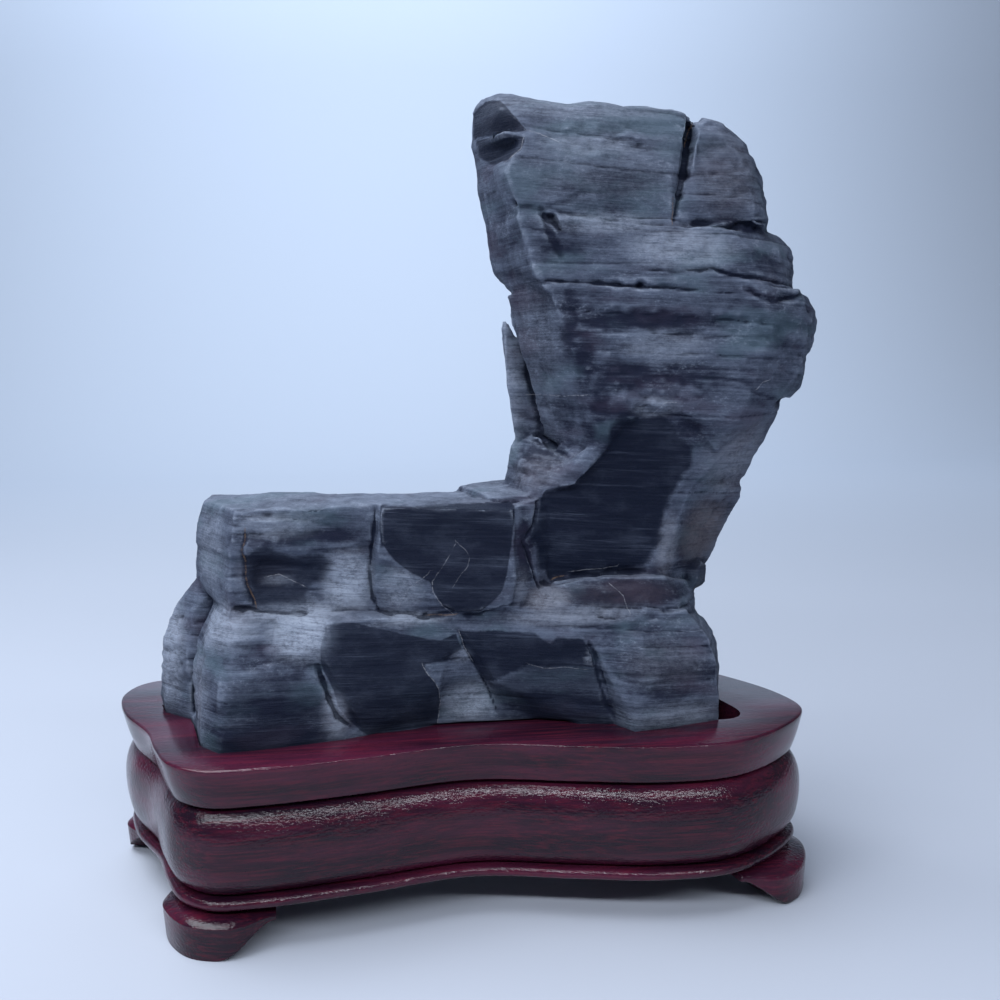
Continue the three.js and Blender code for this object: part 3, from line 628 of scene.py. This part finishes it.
def nearest_on_line(points, line):
    """Distance to a line, the side of it, and the share of the way along it."""
    best = np.full(len(points), np.inf)
    side = np.ones(len(points))
    along = np.zeros(len(points))
    passed = 0.0
    for start, end in zip(line[:-1], line[1:]):
        run = end - start
        length = np.hypot(*run)
        share = np.clip((points - start) @ run / length ** 2, 0, 1)
        gap = points - start - share[:, None] * run
        distance = np.hypot(gap[:, 0], gap[:, 1])
        closer = distance < best
        best[closer] = distance[closer]
        side[closer] = np.where(run[0] * gap[:, 1] - run[1] * gap[:, 0] < 0, -1, 1)[closer]
        along[closer] = (passed + share * length)[closer]
        passed += length
    return best, side, along / passed


def line_places(points, line, facing, reach):
    """Points near a line on a surface that faces one way, with distance, side and share along."""
    line = np.array(line, float)
    flat_line, line_depth = facing_plane(line, facing)
    flat, depth = facing_plane(points, facing)
    low, high = flat_line.min(axis=0) - reach, flat_line.max(axis=0) + reach
    near = np.all((flat > low) & (flat < high), axis=1)
    near &= (depth > line_depth.min() - LINE_DEPTH) & (depth < line_depth.max() + LINE_DEPTH)
    index = np.nonzero(near)[0]
    return index, *nearest_on_line(flat[index], flat_line)


def inside_outline(points, outline):
    """Whether flat points lie inside a closed outline."""
    inside = np.zeros(len(points), bool)
    for (x0, z0), (x1, z1) in zip(outline, np.roll(outline, -1, axis=0)):
        crosses = (z0 > points[:, 1]) != (z1 > points[:, 1])
        at = x0 + (points[:, 1] - z0) * (x1 - x0) / (z1 - z0 if z1 != z0 else 1)
        inside ^= crosses & (points[:, 0] < at)
    return inside


def smooth_curve(points, closed, count):
    """Points at even steps along a smooth curve through the given ones."""
    points = np.array(points, float)
    n = len(points)
    pieces = []
    for i in range(n if closed else n - 1):
        if closed:
            p0, p1, p2, p3 = (points[(i + k) % n] for k in (-1, 0, 1, 2))
        else:
            p1, p2 = points[i], points[i + 1]
            p0 = points[i - 1] if i else 2 * p1 - p2
            p3 = points[i + 2] if i + 2 < n else 2 * p2 - p1
        d0, d1, d2 = (np.linalg.norm(b - a) ** 0.5 for a, b in ((p0, p1), (p1, p2), (p2, p3)))
        m1 = ((p1 - p0) / d0 - (p2 - p0) / (d0 + d1) + (p2 - p1) / d1) * d1
        m2 = ((p2 - p1) / d1 - (p3 - p1) / (d1 + d2) + (p3 - p2) / d2) * d1
        t = np.linspace(0, 1, CURVE_STEPS, endpoint=False)[:, None]
        pieces.append(p1 * (2 * t ** 3 - 3 * t ** 2 + 1) + m1 * (t ** 3 - 2 * t ** 2 + t)
                      + p2 * (3 * t ** 2 - 2 * t ** 3) + m2 * (t ** 3 - t ** 2))
    dense = np.concatenate(pieces + [points[:1] if closed else points[-1:]])
    length = np.concatenate(([0], np.cumsum(np.linalg.norm(np.diff(dense, axis=0), axis=1))))
    at = np.linspace(0, length[-1], count, endpoint=not closed)
    return np.stack([np.interp(at, length, dense[:, k]) for k in range(dense.shape[1])], axis=1)


def outward(curve, closed):
    """Outward directions of a counter-clockwise plan curve."""
    if closed:
        run = np.roll(curve, -1, axis=0) - np.roll(curve, 1, axis=0)
    else:
        run = np.gradient(curve, axis=0)
    run /= np.linalg.norm(run, axis=1, keepdims=True)
    return np.stack((run[:, 1], -run[:, 0]), axis=1)


# Meshes


def link_object(name, mesh):
    piece = bpy.data.objects.new(name, mesh)
    bpy.context.scene.collection.objects.link(piece)
    return piece


def read_points(mesh):
    values = np.empty(len(mesh.vertices) * 3)
    mesh.vertices.foreach_get("co", values)
    return values.reshape(-1, 3) / MM


def write_points(mesh, points):
    mesh.vertices.foreach_set("co", (points * MM).ravel())
    mesh.update()


def read_normals(mesh):
    values = np.empty(len(mesh.vertices) * 3)
    mesh.vertex_normals.foreach_get("vector", values)
    return values.reshape(-1, 3)


def write_attribute(mesh, name, values):
    kind, field = ("FLOAT", "value") if values.ndim == 1 else ("FLOAT_VECTOR", "vector")
    mesh.attributes.new(name, kind, "POINT").data.foreach_set(field, values.ravel())


def relaxed(values, edges, rounds):
    """Values of the points drawn towards their neighbours'."""
    n = len(values)
    ends = np.bincount(edges.ravel(), minlength=n)[:, None]
    for _ in range(rounds):
        total = np.stack([np.bincount(edges[:, 0], values[edges[:, 1], k], n)
                          + np.bincount(edges[:, 1], values[edges[:, 0], k], n)
                          for k in range(values.shape[1])], axis=1)
        values = values + 0.5 * (total / ends - values)
    return values


def bake(piece):
    """Turns a piece's modifiers into its mesh."""
    shaped = piece.evaluated_get(bpy.context.evaluated_depsgraph_get())
    old = piece.data
    piece.data = bpy.data.meshes.new_from_object(shaped)
    piece.modifiers.clear()
    bpy.data.meshes.remove(old)
    piece.data.name = piece.name


def even_skin(node, name, spacing):
    """A merged copy of a solid with a skin of even points."""
    mesh = node.data.copy()
    bm = bmesh.new()
    bm.from_mesh(mesh)
    bmesh.ops.remove_doubles(bm, verts=bm.verts, dist=1e-6)
    bm.to_mesh(mesh)
    bm.free()
    mesh.materials.clear()
    piece = link_object(name, mesh)
    remesh = piece.modifiers.new("Even skin", "REMESH")
    remesh.mode = "VOXEL"
    remesh.voxel_size = spacing
    bake(piece)
    return piece


def thin_out(piece, most):
    """Drops points where the surface is flat until there are no more than so many triangles."""
    triangles = sum(len(face.vertices) - 2 for face in piece.data.polygons)
    fewer = piece.modifiers.new("Fewer points", "DECIMATE")
    fewer.ratio = min(1.0, most / triangles)
    bake(piece)


def of_kind(made, kind):
    """The vertices or the edges among what an operator made."""
    return [g for g in made if isinstance(g, kind)]


def closed_ring(bm, points):
    verts = [bm.verts.new(Vector(p) * MM) for p in points]
    edges = [bm.edges.new((a, b)) for a, b in zip(verts, verts[1:] + verts[:1])]
    return verts, edges


def carry_ring(bm, ring, points):
    """Extrudes a closed ring of edges to a new place."""
    verts, edges = ring
    made = bmesh.ops.extrude_edge_only(bm, edges=edges)["geom"]
    place = {v: i for i, v in enumerate(verts)}
    carried = [None] * len(verts)
    for v in of_kind(made, bmesh.types.BMVert):
        start = next(e.other_vert(v) for e in v.link_edges if e.other_vert(v) in place)
        carried[place[start]] = v
    for v, p in zip(carried, points):
        v.co = Vector(p) * MM
    return carried, [bm.edges.get((a, b)) for a, b in zip(carried, carried[1:] + carried[:1])]


def finished(bm, name, sharp):
    """Closes a bmesh into a smooth object whose edges past the sharp angle stay crisp."""
    bmesh.ops.recalc_face_normals(bm, faces=bm.faces)
    mesh = bpy.data.meshes.new(name)
    bm.to_mesh(mesh)
    bm.free()
    mesh.shade_smooth()
    mesh.set_sharp_from_angle(angle=sharp)
    return link_object(name, mesh)


# Stone


def bedding(points):
    """Height in the stone's beds, which dip gently to the right and roll."""
    return points[:, 2] + BED_DIP * (points[:, 0] - 50) + rough(points, BED_ROLL)


def cleavage_field(points, normals):
    """Distance inside the nearest split face over the width of its edge, how dark it is, and how far
    it is sunk."""
    field = np.full(len(points), -FAR)
    tone = np.zeros(len(points))
    sunk = np.zeros(len(points))
    flat = points[:, (0, 2)]
    for outline, (front, back), dark, sink, edge in CLEAVAGE.values():
        outline = np.array(outline, float)
        near = (points[:, 1] > front) & (points[:, 1] < back) & (normals[:, 1] < FACE_TURN)
        low, high = outline.min(axis=0) - FACE_MARGIN, outline.max(axis=0) + FACE_MARGIN
        near &= np.all((flat > low) & (flat < high), axis=1)
        index = np.nonzero(near)[0]
        distance = nearest_on_line(flat[index], np.concatenate((outline, outline[:1])))[0]
        signed = np.where(inside_outline(flat[index], outline), distance, -distance)
        sunk[index] += sink * ramp(*FACE_SINK, signed)
        closer = signed / edge > field[index]
        field[index[closer]] = (signed / edge)[closer]
        tone[index[closer]] = dark
    return field, tone, sunk


def patch_fields(points):
    """Amounts of pale dust, with one painted highlight, of brown earth, and of darkening, part of it
    painted shade.
    """
    dust, earth, shade = np.zeros((3, len(points)))
    for centre, radii, pale, brown in PATCHES.values():
        share = within(points, centre, radii, *PATCH_FADE)
        dust = np.maximum(dust, pale * share)
        earth = np.maximum(earth, brown * share)
    for centre, radii, dark in SHADES.values():
        shade = np.maximum(shade, dark * within(points, centre, radii, *PATCH_FADE))
    return dust, earth, shade


def line_field(points, lines):
    """Signed distance to the nearest of some surface lines, and far from all of them FAR."""
    field = np.full(len(points), FAR)
    for line, facing in lines:
        index, distance, side, _ = line_places(points, line, facing, VEIN_REACH)
        closer = distance < np.abs(field[index])
        field[index[closer]] = (distance * side)[closer]
    return field


def mesh_edges(mesh):
    ends = np.empty(len(mesh.edges) * 2, np.int64)
    mesh.edges.foreach_get("vertices", ends)
    return ends.reshape(-1, 2)


def weather(mesh, look):
    """Wears the stone's edges, opens its beds and cracks, and roughens it."""
    edges = mesh_edges(mesh)
    points = relaxed(read_points(mesh), edges, look.edge_rounds)
    rounded = relaxed(points, edges, look.rounding)
    for centre, radii in ROUNDED.values():
        points += within(points, centre, radii, *ROUNDED_FADE)[:, None] * (rounded - points)
    write_points(mesh, points)
    normals = read_normals(mesh)
    x, y, z = points.T

    # The foot in the pocket keeps the solid's shape; beds show on upright stone, most of all at the
    # front, flutes on the left, and swells on the back
    free = ramp(STAND_TOP + 0.5, STAND_TOP + 5, z)
    field, tone, sunk = cleavage_field(points, normals)
    smooth = ramp(-0.6, 1.0, field) * tone
    upright = 1 - ramp(0.6, 0.9, np.abs(normals[:, 2]))
    leftward = ramp(0.45, 0.75, -normals[:, 0])
    rightward = ramp(0.5, 0.8, normals[:, 0])
    behind = ramp(0.1, 0.6, normals[:, 1])

    level = np.stack((x, y, bedding(points)), axis=1)
    beds = rough(level, BEDS) - PARTING_DEPTH * (1 - ramp(0.01, 0.09, np.abs(rough(level, PARTINGS))))
    beds *= upright * (1 - 0.75 * leftward) * (1 - 0.5 * rightward)
    lumps = rough(points, LUMPS) + rough(points, FLUTES) * leftward * upright
    relief = look.lump_relief / MM * lumps + look.bedding_relief / MM * beds
    move = relief * (1 - SPLIT_SMOOTHER * smooth) * (1 + BACK_ROUGHER * behind)
    move += rough(points, BACK_SWELL) * behind - sunk

    for line, width, depth, facing in GROOVES.values():
        index, distance, _, along = line_places(points, line, facing, 3 * width + 2)
        wander = CRACK_WANDER * width * noise(points[index] / 3.1, 7)
        taper = ramp(0, CRACK_FADE, along) * ramp(0, CRACK_FADE, 1 - along)
        pinch = CRACK_MEAN + CRACK_PINCH * noise(points[index] / 6.5, 8)
        faces = ramp(-0.1, 0.4, normals[index, 0] * facing[0] + normals[index, 1] * facing[1])
        share = 1 - ramp(0.2 * width, 1.1 * width, distance + wander)
        share *= CRACK_END + (1 - CRACK_END) * taper
        move[index] -= depth * share * pinch * faces
    for centre, radii, depth in DENTS.values():
        move -= depth * within(points, centre, radii, *DENT_FADE)
    knobs = rough(points, KNOBS)
    for centre, radii, height in KNOBBLY.values():
        move += height * knobs * within(points, centre, radii, *KNOBBLY_FADE) * (1 - smooth)

    worn = points + normals * (move * free)[:, None]
    worn[:, 2] += np.interp(x, TOP_EDGE_X, TOP_EDGE_LIFT) * ramp(*TOP_EDGE_Z, z)
    write_points(mesh, worn)


def mark(mesh):
    """Stores on the stone's points what its material reads."""
    points = read_points(mesh)
    normals = read_normals(mesh)
    field, tone, _ = cleavage_field(points, normals)
    dust, earth, shade = patch_fields(points)
    broad = relaxed(points, mesh_edges(mesh), CREST_ROUNDS)
    write_attribute(mesh, "cleavage", field)
    write_attribute(mesh, "cleavage_tone", tone * (1 - DUST_HIDES * dust))
    write_attribute(mesh, "crest", ((points - broad) * normals).sum(axis=1))
    write_attribute(mesh, "dust", np.maximum(dust, LEVEL_DUST * ramp(0.6, 0.95, normals[:, 2])))
    write_attribute(mesh, "earth", earth)
    write_attribute(mesh, "shade", shade)
    for name, lines in (("vein", VEINS), ("branch", BRANCHES), ("rust", RUST_SEAMS)):
        away = line_field(points, lines)
        write_attribute(mesh, name, away)
        write_attribute(mesh, name + "_near", 1 - ramp(*VEIN_FADE, np.abs(away)))
    x, y, _ = points.T
    write_attribute(mesh, "beds", np.stack((x, y, bedding(points)), axis=1) * MM)
    mesh.shade_smooth()


# Materials


def join(tree, node, inputs):
    """Fills or links a node's inputs."""
    for socket, value in inputs.items():
        if isinstance(value, bpy.types.NodeSocket):
            tree.links.new(value, node.inputs[socket])
        else:
            node.inputs[socket].default_value = value


def add(tree, kind, inputs, output=0, **settings):
    """Adds a node with its settings and links, and returns one of its outputs."""
    node = tree.nodes.new(kind)
    for name, value in settings.items():
        setattr(node, name, value)
    join(tree, node, inputs)
    return node.outputs[output]


def patterns(tree, recipes):
    """Patterns by name, each from a source, its cell in millimetres along x, y and z, its detail and
    its roughness."""
    made = {}
    for name, (source, sizes, detail, roughness) in recipes.items():
        scale = [1 / (size * MM) for size in sizes]
        spot = add(tree, "ShaderNodeMapping", {"Vector": source, "Scale": scale})
        made[name] = add(tree, "ShaderNodeTexNoise", {
            "Vector": spot, "Scale": 1.0, "Detail": detail, "Roughness": roughness}, "Fac")
    return made


def weighted(tree, start, *terms):
    """A start value and some values, each times its weight, in one sum."""
    total = start
    for value, weight in terms:
        total = add(tree, "ShaderNodeMath", {0: value, 1: weight, 2: total}, operation="MULTIPLY_ADD")
    return total


def masked(tree, most, *masks):
    """An amount times its masks. A mask is a value alone, or one with its low and high ends and the
    least that it lets through."""
    share = most
    for mask, *span in masks:
        if span:
            low, high, least = span
            mask = add(tree, "ShaderNodeMapRange", {
                "Value": mask, "From Min": low, "From Max": high, "To Min": least, "To Max": 1.0},
                interpolation_type="SMOOTHSTEP")
        share = add(tree, "ShaderNodeMath", {0: share, 1: mask}, operation="MULTIPLY")
    return share


def layered(tree, tint, *layers):
    """Lays colours over a tint, each as a colour, the most that it covers, and its masks."""
    for over, most, *masks in layers:
        share = masked(tree, most, *masks)
        tint = add(tree, "ShaderNodeMix", {0: share, 6: tint, 7: over}, 2, data_type="RGBA")
    return tint


def colour(value):
    return (*value, 1.0)


def new_paint(name):
    """A new material, its nodes and its shader."""
    paint = bpy.data.materials.new(name)
    paint.use_nodes = True
    return paint, paint.node_tree, paint.node_tree.nodes["Principled BSDF"]


def limestone(look):
    """Dark fine-grained limestone, split along its beds and weathered outdoors: matte charcoal with
    fine level streaks, near-black split faces, a chalky bloom on edges and ledges, and pale veins, with
    painted shade in its hollows and under overhangs and a painted highlight in the ledge's hollow.
    Its grain is under a tenth of a millimetre, too fine to show, so it is drawn at half a millimetre."""
    paint, tree, skin = new_paint("dark_bedded_limestone")
    place = add(tree, "ShaderNodeTexCoord", {}, "Object")
    beds = add(tree, "ShaderNodeAttribute", {}, "Vector", attribute_name="beds")
    stored = {
        name: add(tree, "ShaderNodeAttribute", {}, "Fac", attribute_name=name) for name in STORED}
    made = patterns(tree, {
        "streak": (beds, (22, 22, 0.7), 6, 0.75), "band": (beds, (42, 42, 3.6), 4, 0.6),
        "mottle": (place, (13, 13, 8), 5, 0.62), "speckle": (place, (1.8, 1.8, 1.0), 5, 0.8),
        "grain": (place, (0.5, 0.5, 0.4), 3, 0.6), "wander": (place, (5, 5, 5), 4, 0.6),
        "tinge": (place, (30, 30, 14), 3, 0.55)})
    crest, speckle, streak = stored["crest"], made["speckle"], made["streak"]
    broken = weighted(tree, 0.0, (speckle, 0.6), (made["mottle"], 0.4))
    body, shade = colour(look.body_colour), colour(look.shade_colour)
    dust, split_and_shade_tint = colour(look.dust_and_highlight_colour), colour(look.cleavage_and_shade_colour)

    # Darker and paler beds, tinged green and purple, with dust and earth. The tone falls in hollows as
    # painted shade and where the shade table darkens, part of it painted shade; the pale patches hold a
    # painted highlight
    tone = weighted(tree, -0.08, (streak, 0.32), (made["band"], 0.34), (made["mottle"], 0.28),
                    (speckle, 0.26), (crest, 0.24), (stored["shade"], -0.26))
    tint = layered(
        tree, shade, (body, 1.0, (tone, 0.34, 0.68, 0.0)),
        (colour(look.bloom_colour), 0.5, (made["tinge"], 0.52, 0.7, 0.0)),
        (colour(look.purple_colour), 0.5, (made["tinge"], 0.48, 0.3, 0.0)),
        (dust, 0.5, (broken, 0.54, 0.72, 0.0), (stored["shade"], 1.0, 0.0, 0.0)),
        (colour(look.earth_colour), 0.95, (stored["earth"],), (speckle, 0.3, 0.62, 0.4)),
        (dust, 1.0, (stored["dust"],), (broken, 0.36, 0.56, 0.35), (streak, 0.34, 0.56, 0.55)))

    # Dark split faces with a wandering edge and faint streaks, worn edges, and painted shade in hollows
    edge = weighted(tree, -1.0, (made["wander"], 2.0), (stored["cleavage"], 1.0))
    dark = masked(tree, 1.0, (edge, -0.5, 0.5, 0.0), (stored["cleavage_tone"],))
    split_face = layered(tree, split_and_shade_tint, (shade, 0.7, (streak, 0.4, 0.7, 0.0)),
                         (body, 0.12, (made["mottle"], 0.45, 0.68, 0.0)),
                         (body, 0.4, (made["band"], 0.48, 0.68, 0.0), (streak, 0.42, 0.68, 0.0)))
    tint = layered(tree, tint, (split_face, 1.0, (dark,)),
                   (dust, 0.5, (crest, 0.18, 0.6, 0.0), (speckle, 0.35, 0.65, 0.25)),
                   (split_and_shade_tint, 0.7, (crest, -0.1, -0.55, 0.0)))

    # Veins and rusty seams
    for name, width, most, target in (
            ("vein", 0.14, 0.5, look.vein_colour), ("branch", 0.12, 0.4, look.vein_colour),
            ("rust", 0.25, 0.65, look.rust_colour)):
        away = weighted(tree, -0.6, (made["wander"], 1.2), (stored[name], 1.0))
        away = add(tree, "ShaderNodeMath", {0: away}, operation="ABSOLUTE")
        tint = layered(tree, tint, (colour(target), most, (away, width * 1.5, width * 0.5, 0.0),
                                    (stored[name + "_near"],), (speckle, 0.4, 0.56, 0.1)))

    height = weighted(tree, 0.0, (made["grain"], 0.4), (streak, 1.1), (speckle, 0.9))
    join(tree, skin, {
        "Base Color": tint, "Roughness": weighted(tree, 0.55, (made["grain"], 0.3), (dark, -0.14)),
        "Normal": add(tree, "ShaderNodeBump", {
            "Height": height, "Strength": 0.8, "Distance": 0.5 * MM}),
        "IOR": 1.5, "Specular IOR Level": 0.12})
    return paint


def rosewood(wood):
    """Carved rosewood under a rubbed lacquer: deep purple-red with fine level grain, a high gloss, and
    tool marks below the rim and open pores that break its highlights into sparkles and dashes. The
    pores are about 0.15 mm wide, too fine to show, so they are drawn three times as wide."""
    paint, tree, skin = new_paint("lacquered_rosewood")
    place = add(tree, "ShaderNodeTexCoord", {}, "Object")
    made = patterns(tree, {
        "figure": (place, (110, 26, 10), 4, 0.55), "grain": (place, (26, 1.6, 0.8), 4, 0.65),
        "pores": (place, (2.2, 0.5, 0.4), 2, 0.5), "ripple": (place, (1.3, 1.0, 0.8), 2, 0.5),
        "rub": (place, (24, 24, 12), 3, 0.5)})
    dark = colour(wood.dark_colour)
    tint = layered(tree, dark, (colour(wood.heart_colour), 1.0, (made["figure"], 0.38, 0.68, 0.0)),
                   (colour(wood.glow_colour), 0.25, (made["grain"], 0.42, 0.72, 0.0)),
                   (dark, 0.4, (made["pores"], 0.56, 0.7, 0.0)))
    level = add(tree, "ShaderNodeSeparateXYZ", {"Vector": place}, "Z")
    tooled = masked(tree, 1.0, (made["ripple"],), (level, RIM_FOOT * MM, BELLY_TOP * MM, 0.2),
                    (made["rub"], 0.36, 0.62, 0.35))
    height = weighted(tree, 0.0, (tooled, 1.0), (made["pores"], -0.3))
    join(tree, skin, {
        "Base Color": tint, "Roughness": weighted(tree, 0.03, (made["rub"], 0.14)),
        "Normal": add(tree, "ShaderNodeBump", {
            "Height": height, "Strength": 1.0, "Distance": 0.24 * MM}),
        "IOR": 1.5, "Specular IOR Level": 0.34})
    return paint


def shared_rosewood(context):
    found = bpy.data.materials.get("lacquered_rosewood")
    return found or rosewood(context.scene.rosewood_stand)


# Pieces


class SCHOLARS_OT_stone(bpy.types.Operator):
    """Weathers the stone over its solid and gives it its limestone"""
    bl_idname = "scholars_rock.stone"
    bl_label = "Stone"

    def execute(self, context):
        look = context.scene.rock_stone
        stone = even_skin(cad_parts["rock"], "stone", look.skin_spacing)
        weather(stone.data, look)
        thin_out(stone, look.most_triangles)
        mark(stone.data)
        stone.data.materials.append(limestone(look))
        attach(stone, BODY)
        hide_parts("rock")
        return {"FINISHED"}


class SCHOLARS_OT_stand(bpy.types.Operator):
    """Carves the lobed stand with its mouldings and its pocket"""
    bl_idname = "scholars_rock.stand"
    bl_label = "Stand"

    def execute(self, context):
        wood = context.scene.rosewood_stand
        rim = smooth_curve(RIM_OUTLINE, True, wood.outline_steps)
        away = outward(rim, True)
        profile = []
        for run in STAND_RUNS:
            steps = (len(run) - 1) * wood.profile_steps + 1
            profile.extend(smooth_curve(run, False, steps)[1 if profile else 0:])
        bm = bmesh.new()
        rings = [[(*spot, z) for spot in rim + PLACE + away * out] for out, z in profile]
        ring = closed_ring(bm, rings[0])
        bmesh.ops.triangle_fill(bm, use_beauty=True, edges=ring[1])
        for points in rings[1:]:
            ring = carry_ring(bm, ring, points)
        foot = np.array(STONE_FOOT) + PLACE
        pocket = foot + outward(foot, True) * POCKET_CLEARANCE
        mouth = closed_ring(bm, [(*spot, STAND_TOP) for spot in pocket])
        bmesh.ops.triangle_fill(bm, use_beauty=True, edges=ring[1] + mouth[1])
        floor = carry_ring(bm, mouth, [(*spot, POCKET_FLOOR) for spot in pocket])
        bmesh.ops.triangle_fill(bm, use_beauty=True, edges=floor[1])
        stand = finished(bm, "carved_stand", CARVED_SHARP)
        stand.data.materials.append(shared_rosewood(context))
        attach(stand, BODY)
        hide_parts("stand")
        return {"FINISHED"}


class SCHOLARS_OT_feet(bpy.types.Operator):
    """Carves the four bracket feet"""
    bl_idname = "scholars_rock.feet"
    bl_label = "Feet"

    def execute(self, context):
        wood = context.scene.rosewood_stand
        for name, outline in FEET.items():
            edge = smooth_curve(outline, False, FOOT_STEPS + 1)
            away = outward(edge, False)
            bm = bmesh.new()
            ring = None
            for i, (spot, out) in enumerate(zip(edge + PLACE, away)):
                share = i / FOOT_STEPS
                rise = 1 - float(ramp(0, FOOT_TAPER, min(share, 1 - share)))
                under = (FOOT_LEDGE - FOOT_TIP) * rise
                inset = FOOT_LEDGE_WIDTH * rise * rise
                section = ((FOOT_DEPTH, under), (FOOT_DEPTH, FOOT_TOP),
                           (inset + FOOT_LEDGE_WIDTH, FOOT_TOP), (inset + FOOT_ARRIS, FOOT_LEDGE),
                           (inset, FOOT_LEDGE - FOOT_ARRIS), (inset + FOOT_BATTER, under))
                points = [(*(spot - out * back), z) for back, z in section]
                if ring is None:
                    ring = closed_ring(bm, points)
                    bm.faces.new(ring[0])
                else:
                    ring = carry_ring(bm, ring, points)
            bm.faces.new(ring[0])
            foot = finished(bm, "carved_" + name, CARVED_SHARP)
            bevel = foot.modifiers.new("Arris", "BEVEL")
            bevel.width = wood.arris
            bevel.segments = 2
            bevel.limit_method = "ANGLE"
            bevel.angle_limit = ARRIS_SHARP
            foot.data.materials.append(shared_rosewood(context))
            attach(foot, BODY)
            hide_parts(name)
        return {"FINISHED"}


class SCHOLARS_OT_stage(bpy.types.Operator):
    """Sets the plain pale floor, the soft light and the camera"""
    bl_idname = "scholars_rock.stage"
    bl_label = "Stage"

    def execute(self, context):
        stage = context.scene.studio_stage
        scene = context.scene
        bm = bmesh.new()
        near = [bm.verts.new((side, FLOOR_FRONT, 0)) for side in (-FLOOR_HALF_WIDTH, FLOOR_HALF_WIDTH)]
        flat = bmesh.ops.extrude_edge_only(bm, edges=[bm.edges.new(near)])["geom"]
        back = of_kind(flat, bmesh.types.BMVert)
        bmesh.ops.translate(bm, verts=back, vec=(0, FLOOR_BACK - FLOOR_FRONT, 0))
        edge = [g for g in of_kind(flat, bmesh.types.BMEdge) if all(v in back for v in g.verts)]
        turned = bmesh.ops.spin(
            bm, geom=edge + back, cent=(0, FLOOR_BACK, BEND_RADIUS), axis=(1, 0, 0),
            angle=math.radians(90), steps=BEND_STEPS, use_duplicate=False)["geom_last"]
        wall = bmesh.ops.extrude_edge_only(bm, edges=of_kind(turned, bmesh.types.BMEdge))["geom"]
        bmesh.ops.translate(bm, verts=of_kind(wall, bmesh.types.BMVert), vec=(0, 0, WALL_HEIGHT))
        floor = finished(bm, "floor", BEND_SHARP)
        paint, tree, skin = new_paint("matte_backdrop_paint")
        join(tree, skin, {"Base Color": colour(stage.floor_colour), "Roughness": 0.9})
        floor.data.materials.append(paint)

        world = bpy.data.worlds.new("soft_room")
        world.use_nodes = True
        room = world.node_tree.nodes["Background"]
        room.inputs["Color"].default_value = colour(stage.sky_colour)
        room.inputs["Strength"].default_value = stage.sky_strength
        scene.world = world
        scene.view_settings.view_transform = "Standard"

        for name, (place, target, size, power, tint) in LAMPS.items():
            light = bpy.data.lights.new(name, "AREA")
            light.shape = "RECTANGLE"
            light.size, light.size_y = size
            light.energy = getattr(stage, power)
            light.color = getattr(stage, tint)
            lamp = bpy.data.objects.new(name, light)
            lamp.location = place
            aim = Vector(target) - lamp.location
            lamp.rotation_euler = aim.to_track_quat("-Z", "Y").to_euler()
            scene.collection.objects.link(lamp)

        camera = bpy.data.objects.new("camera", bpy.data.cameras.new("camera"))
        camera.data.lens = stage.lens
        camera.data.sensor_width = 36
        camera.data.clip_start = 0.01
        upright = Matrix.Rotation(math.radians(90) - CAMERA_TIP, 4, "X")
        turn = Matrix.Rotation(-CAMERA_TURN, 4, "Z")
        roll = Matrix.Rotation(-CAMERA_ROLL, 4, "Z")
        camera.matrix_world = Matrix.Translation(Vector(CAMERA_PLACE) * MM) @ turn @ upright @ roll
        scene.collection.objects.link(camera)
        scene.camera = camera
        return {"FINISHED"}


class SCHOLARS_PT_panel(bpy.types.Panel):
    bl_label = "Scholars rock"
    bl_idname = "SCHOLARS_PT_panel"
    bl_space_type = "VIEW_3D"
    bl_region_type = "UI"
    bl_category = "Scholars rock"

    def draw(self, context):
        for operator, group in (
                (SCHOLARS_OT_stone, "rock_stone"), (SCHOLARS_OT_stand, "rosewood_stand"),
                (SCHOLARS_OT_feet, None), (SCHOLARS_OT_stage, "studio_stage")):
            box = self.layout.box()
            box.operator(operator.bl_idname)
            if group:
                settings = getattr(context.scene, group)
                for name in settings.__annotations__:
                    box.prop(settings, name)


CLASSES = (RockStone, RosewoodStand, StudioStage, SCHOLARS_OT_stone, SCHOLARS_OT_stand,
           SCHOLARS_OT_feet, SCHOLARS_OT_stage, SCHOLARS_PT_panel)


def register():
    for cls in CLASSES:
        bpy.utils.register_class(cls)
    bpy.types.Scene.rock_stone = bpy.props.PointerProperty(type=RockStone)
    bpy.types.Scene.rosewood_stand = bpy.props.PointerProperty(type=RosewoodStand)
    bpy.types.Scene.studio_stage = bpy.props.PointerProperty(type=StudioStage)


def unregister():
    del bpy.types.Scene.studio_stage
    del bpy.types.Scene.rosewood_stand
    del bpy.types.Scene.rock_stone
    for cls in reversed(CLASSES):
        bpy.utils.unregister_class(cls)


def main():
    register()
    bpy.ops.scholars_rock.stone()
    bpy.ops.scholars_rock.stand()
    bpy.ops.scholars_rock.feet()
    bpy.ops.scholars_rock.stage()


if __name__ == "__main__":
    main()
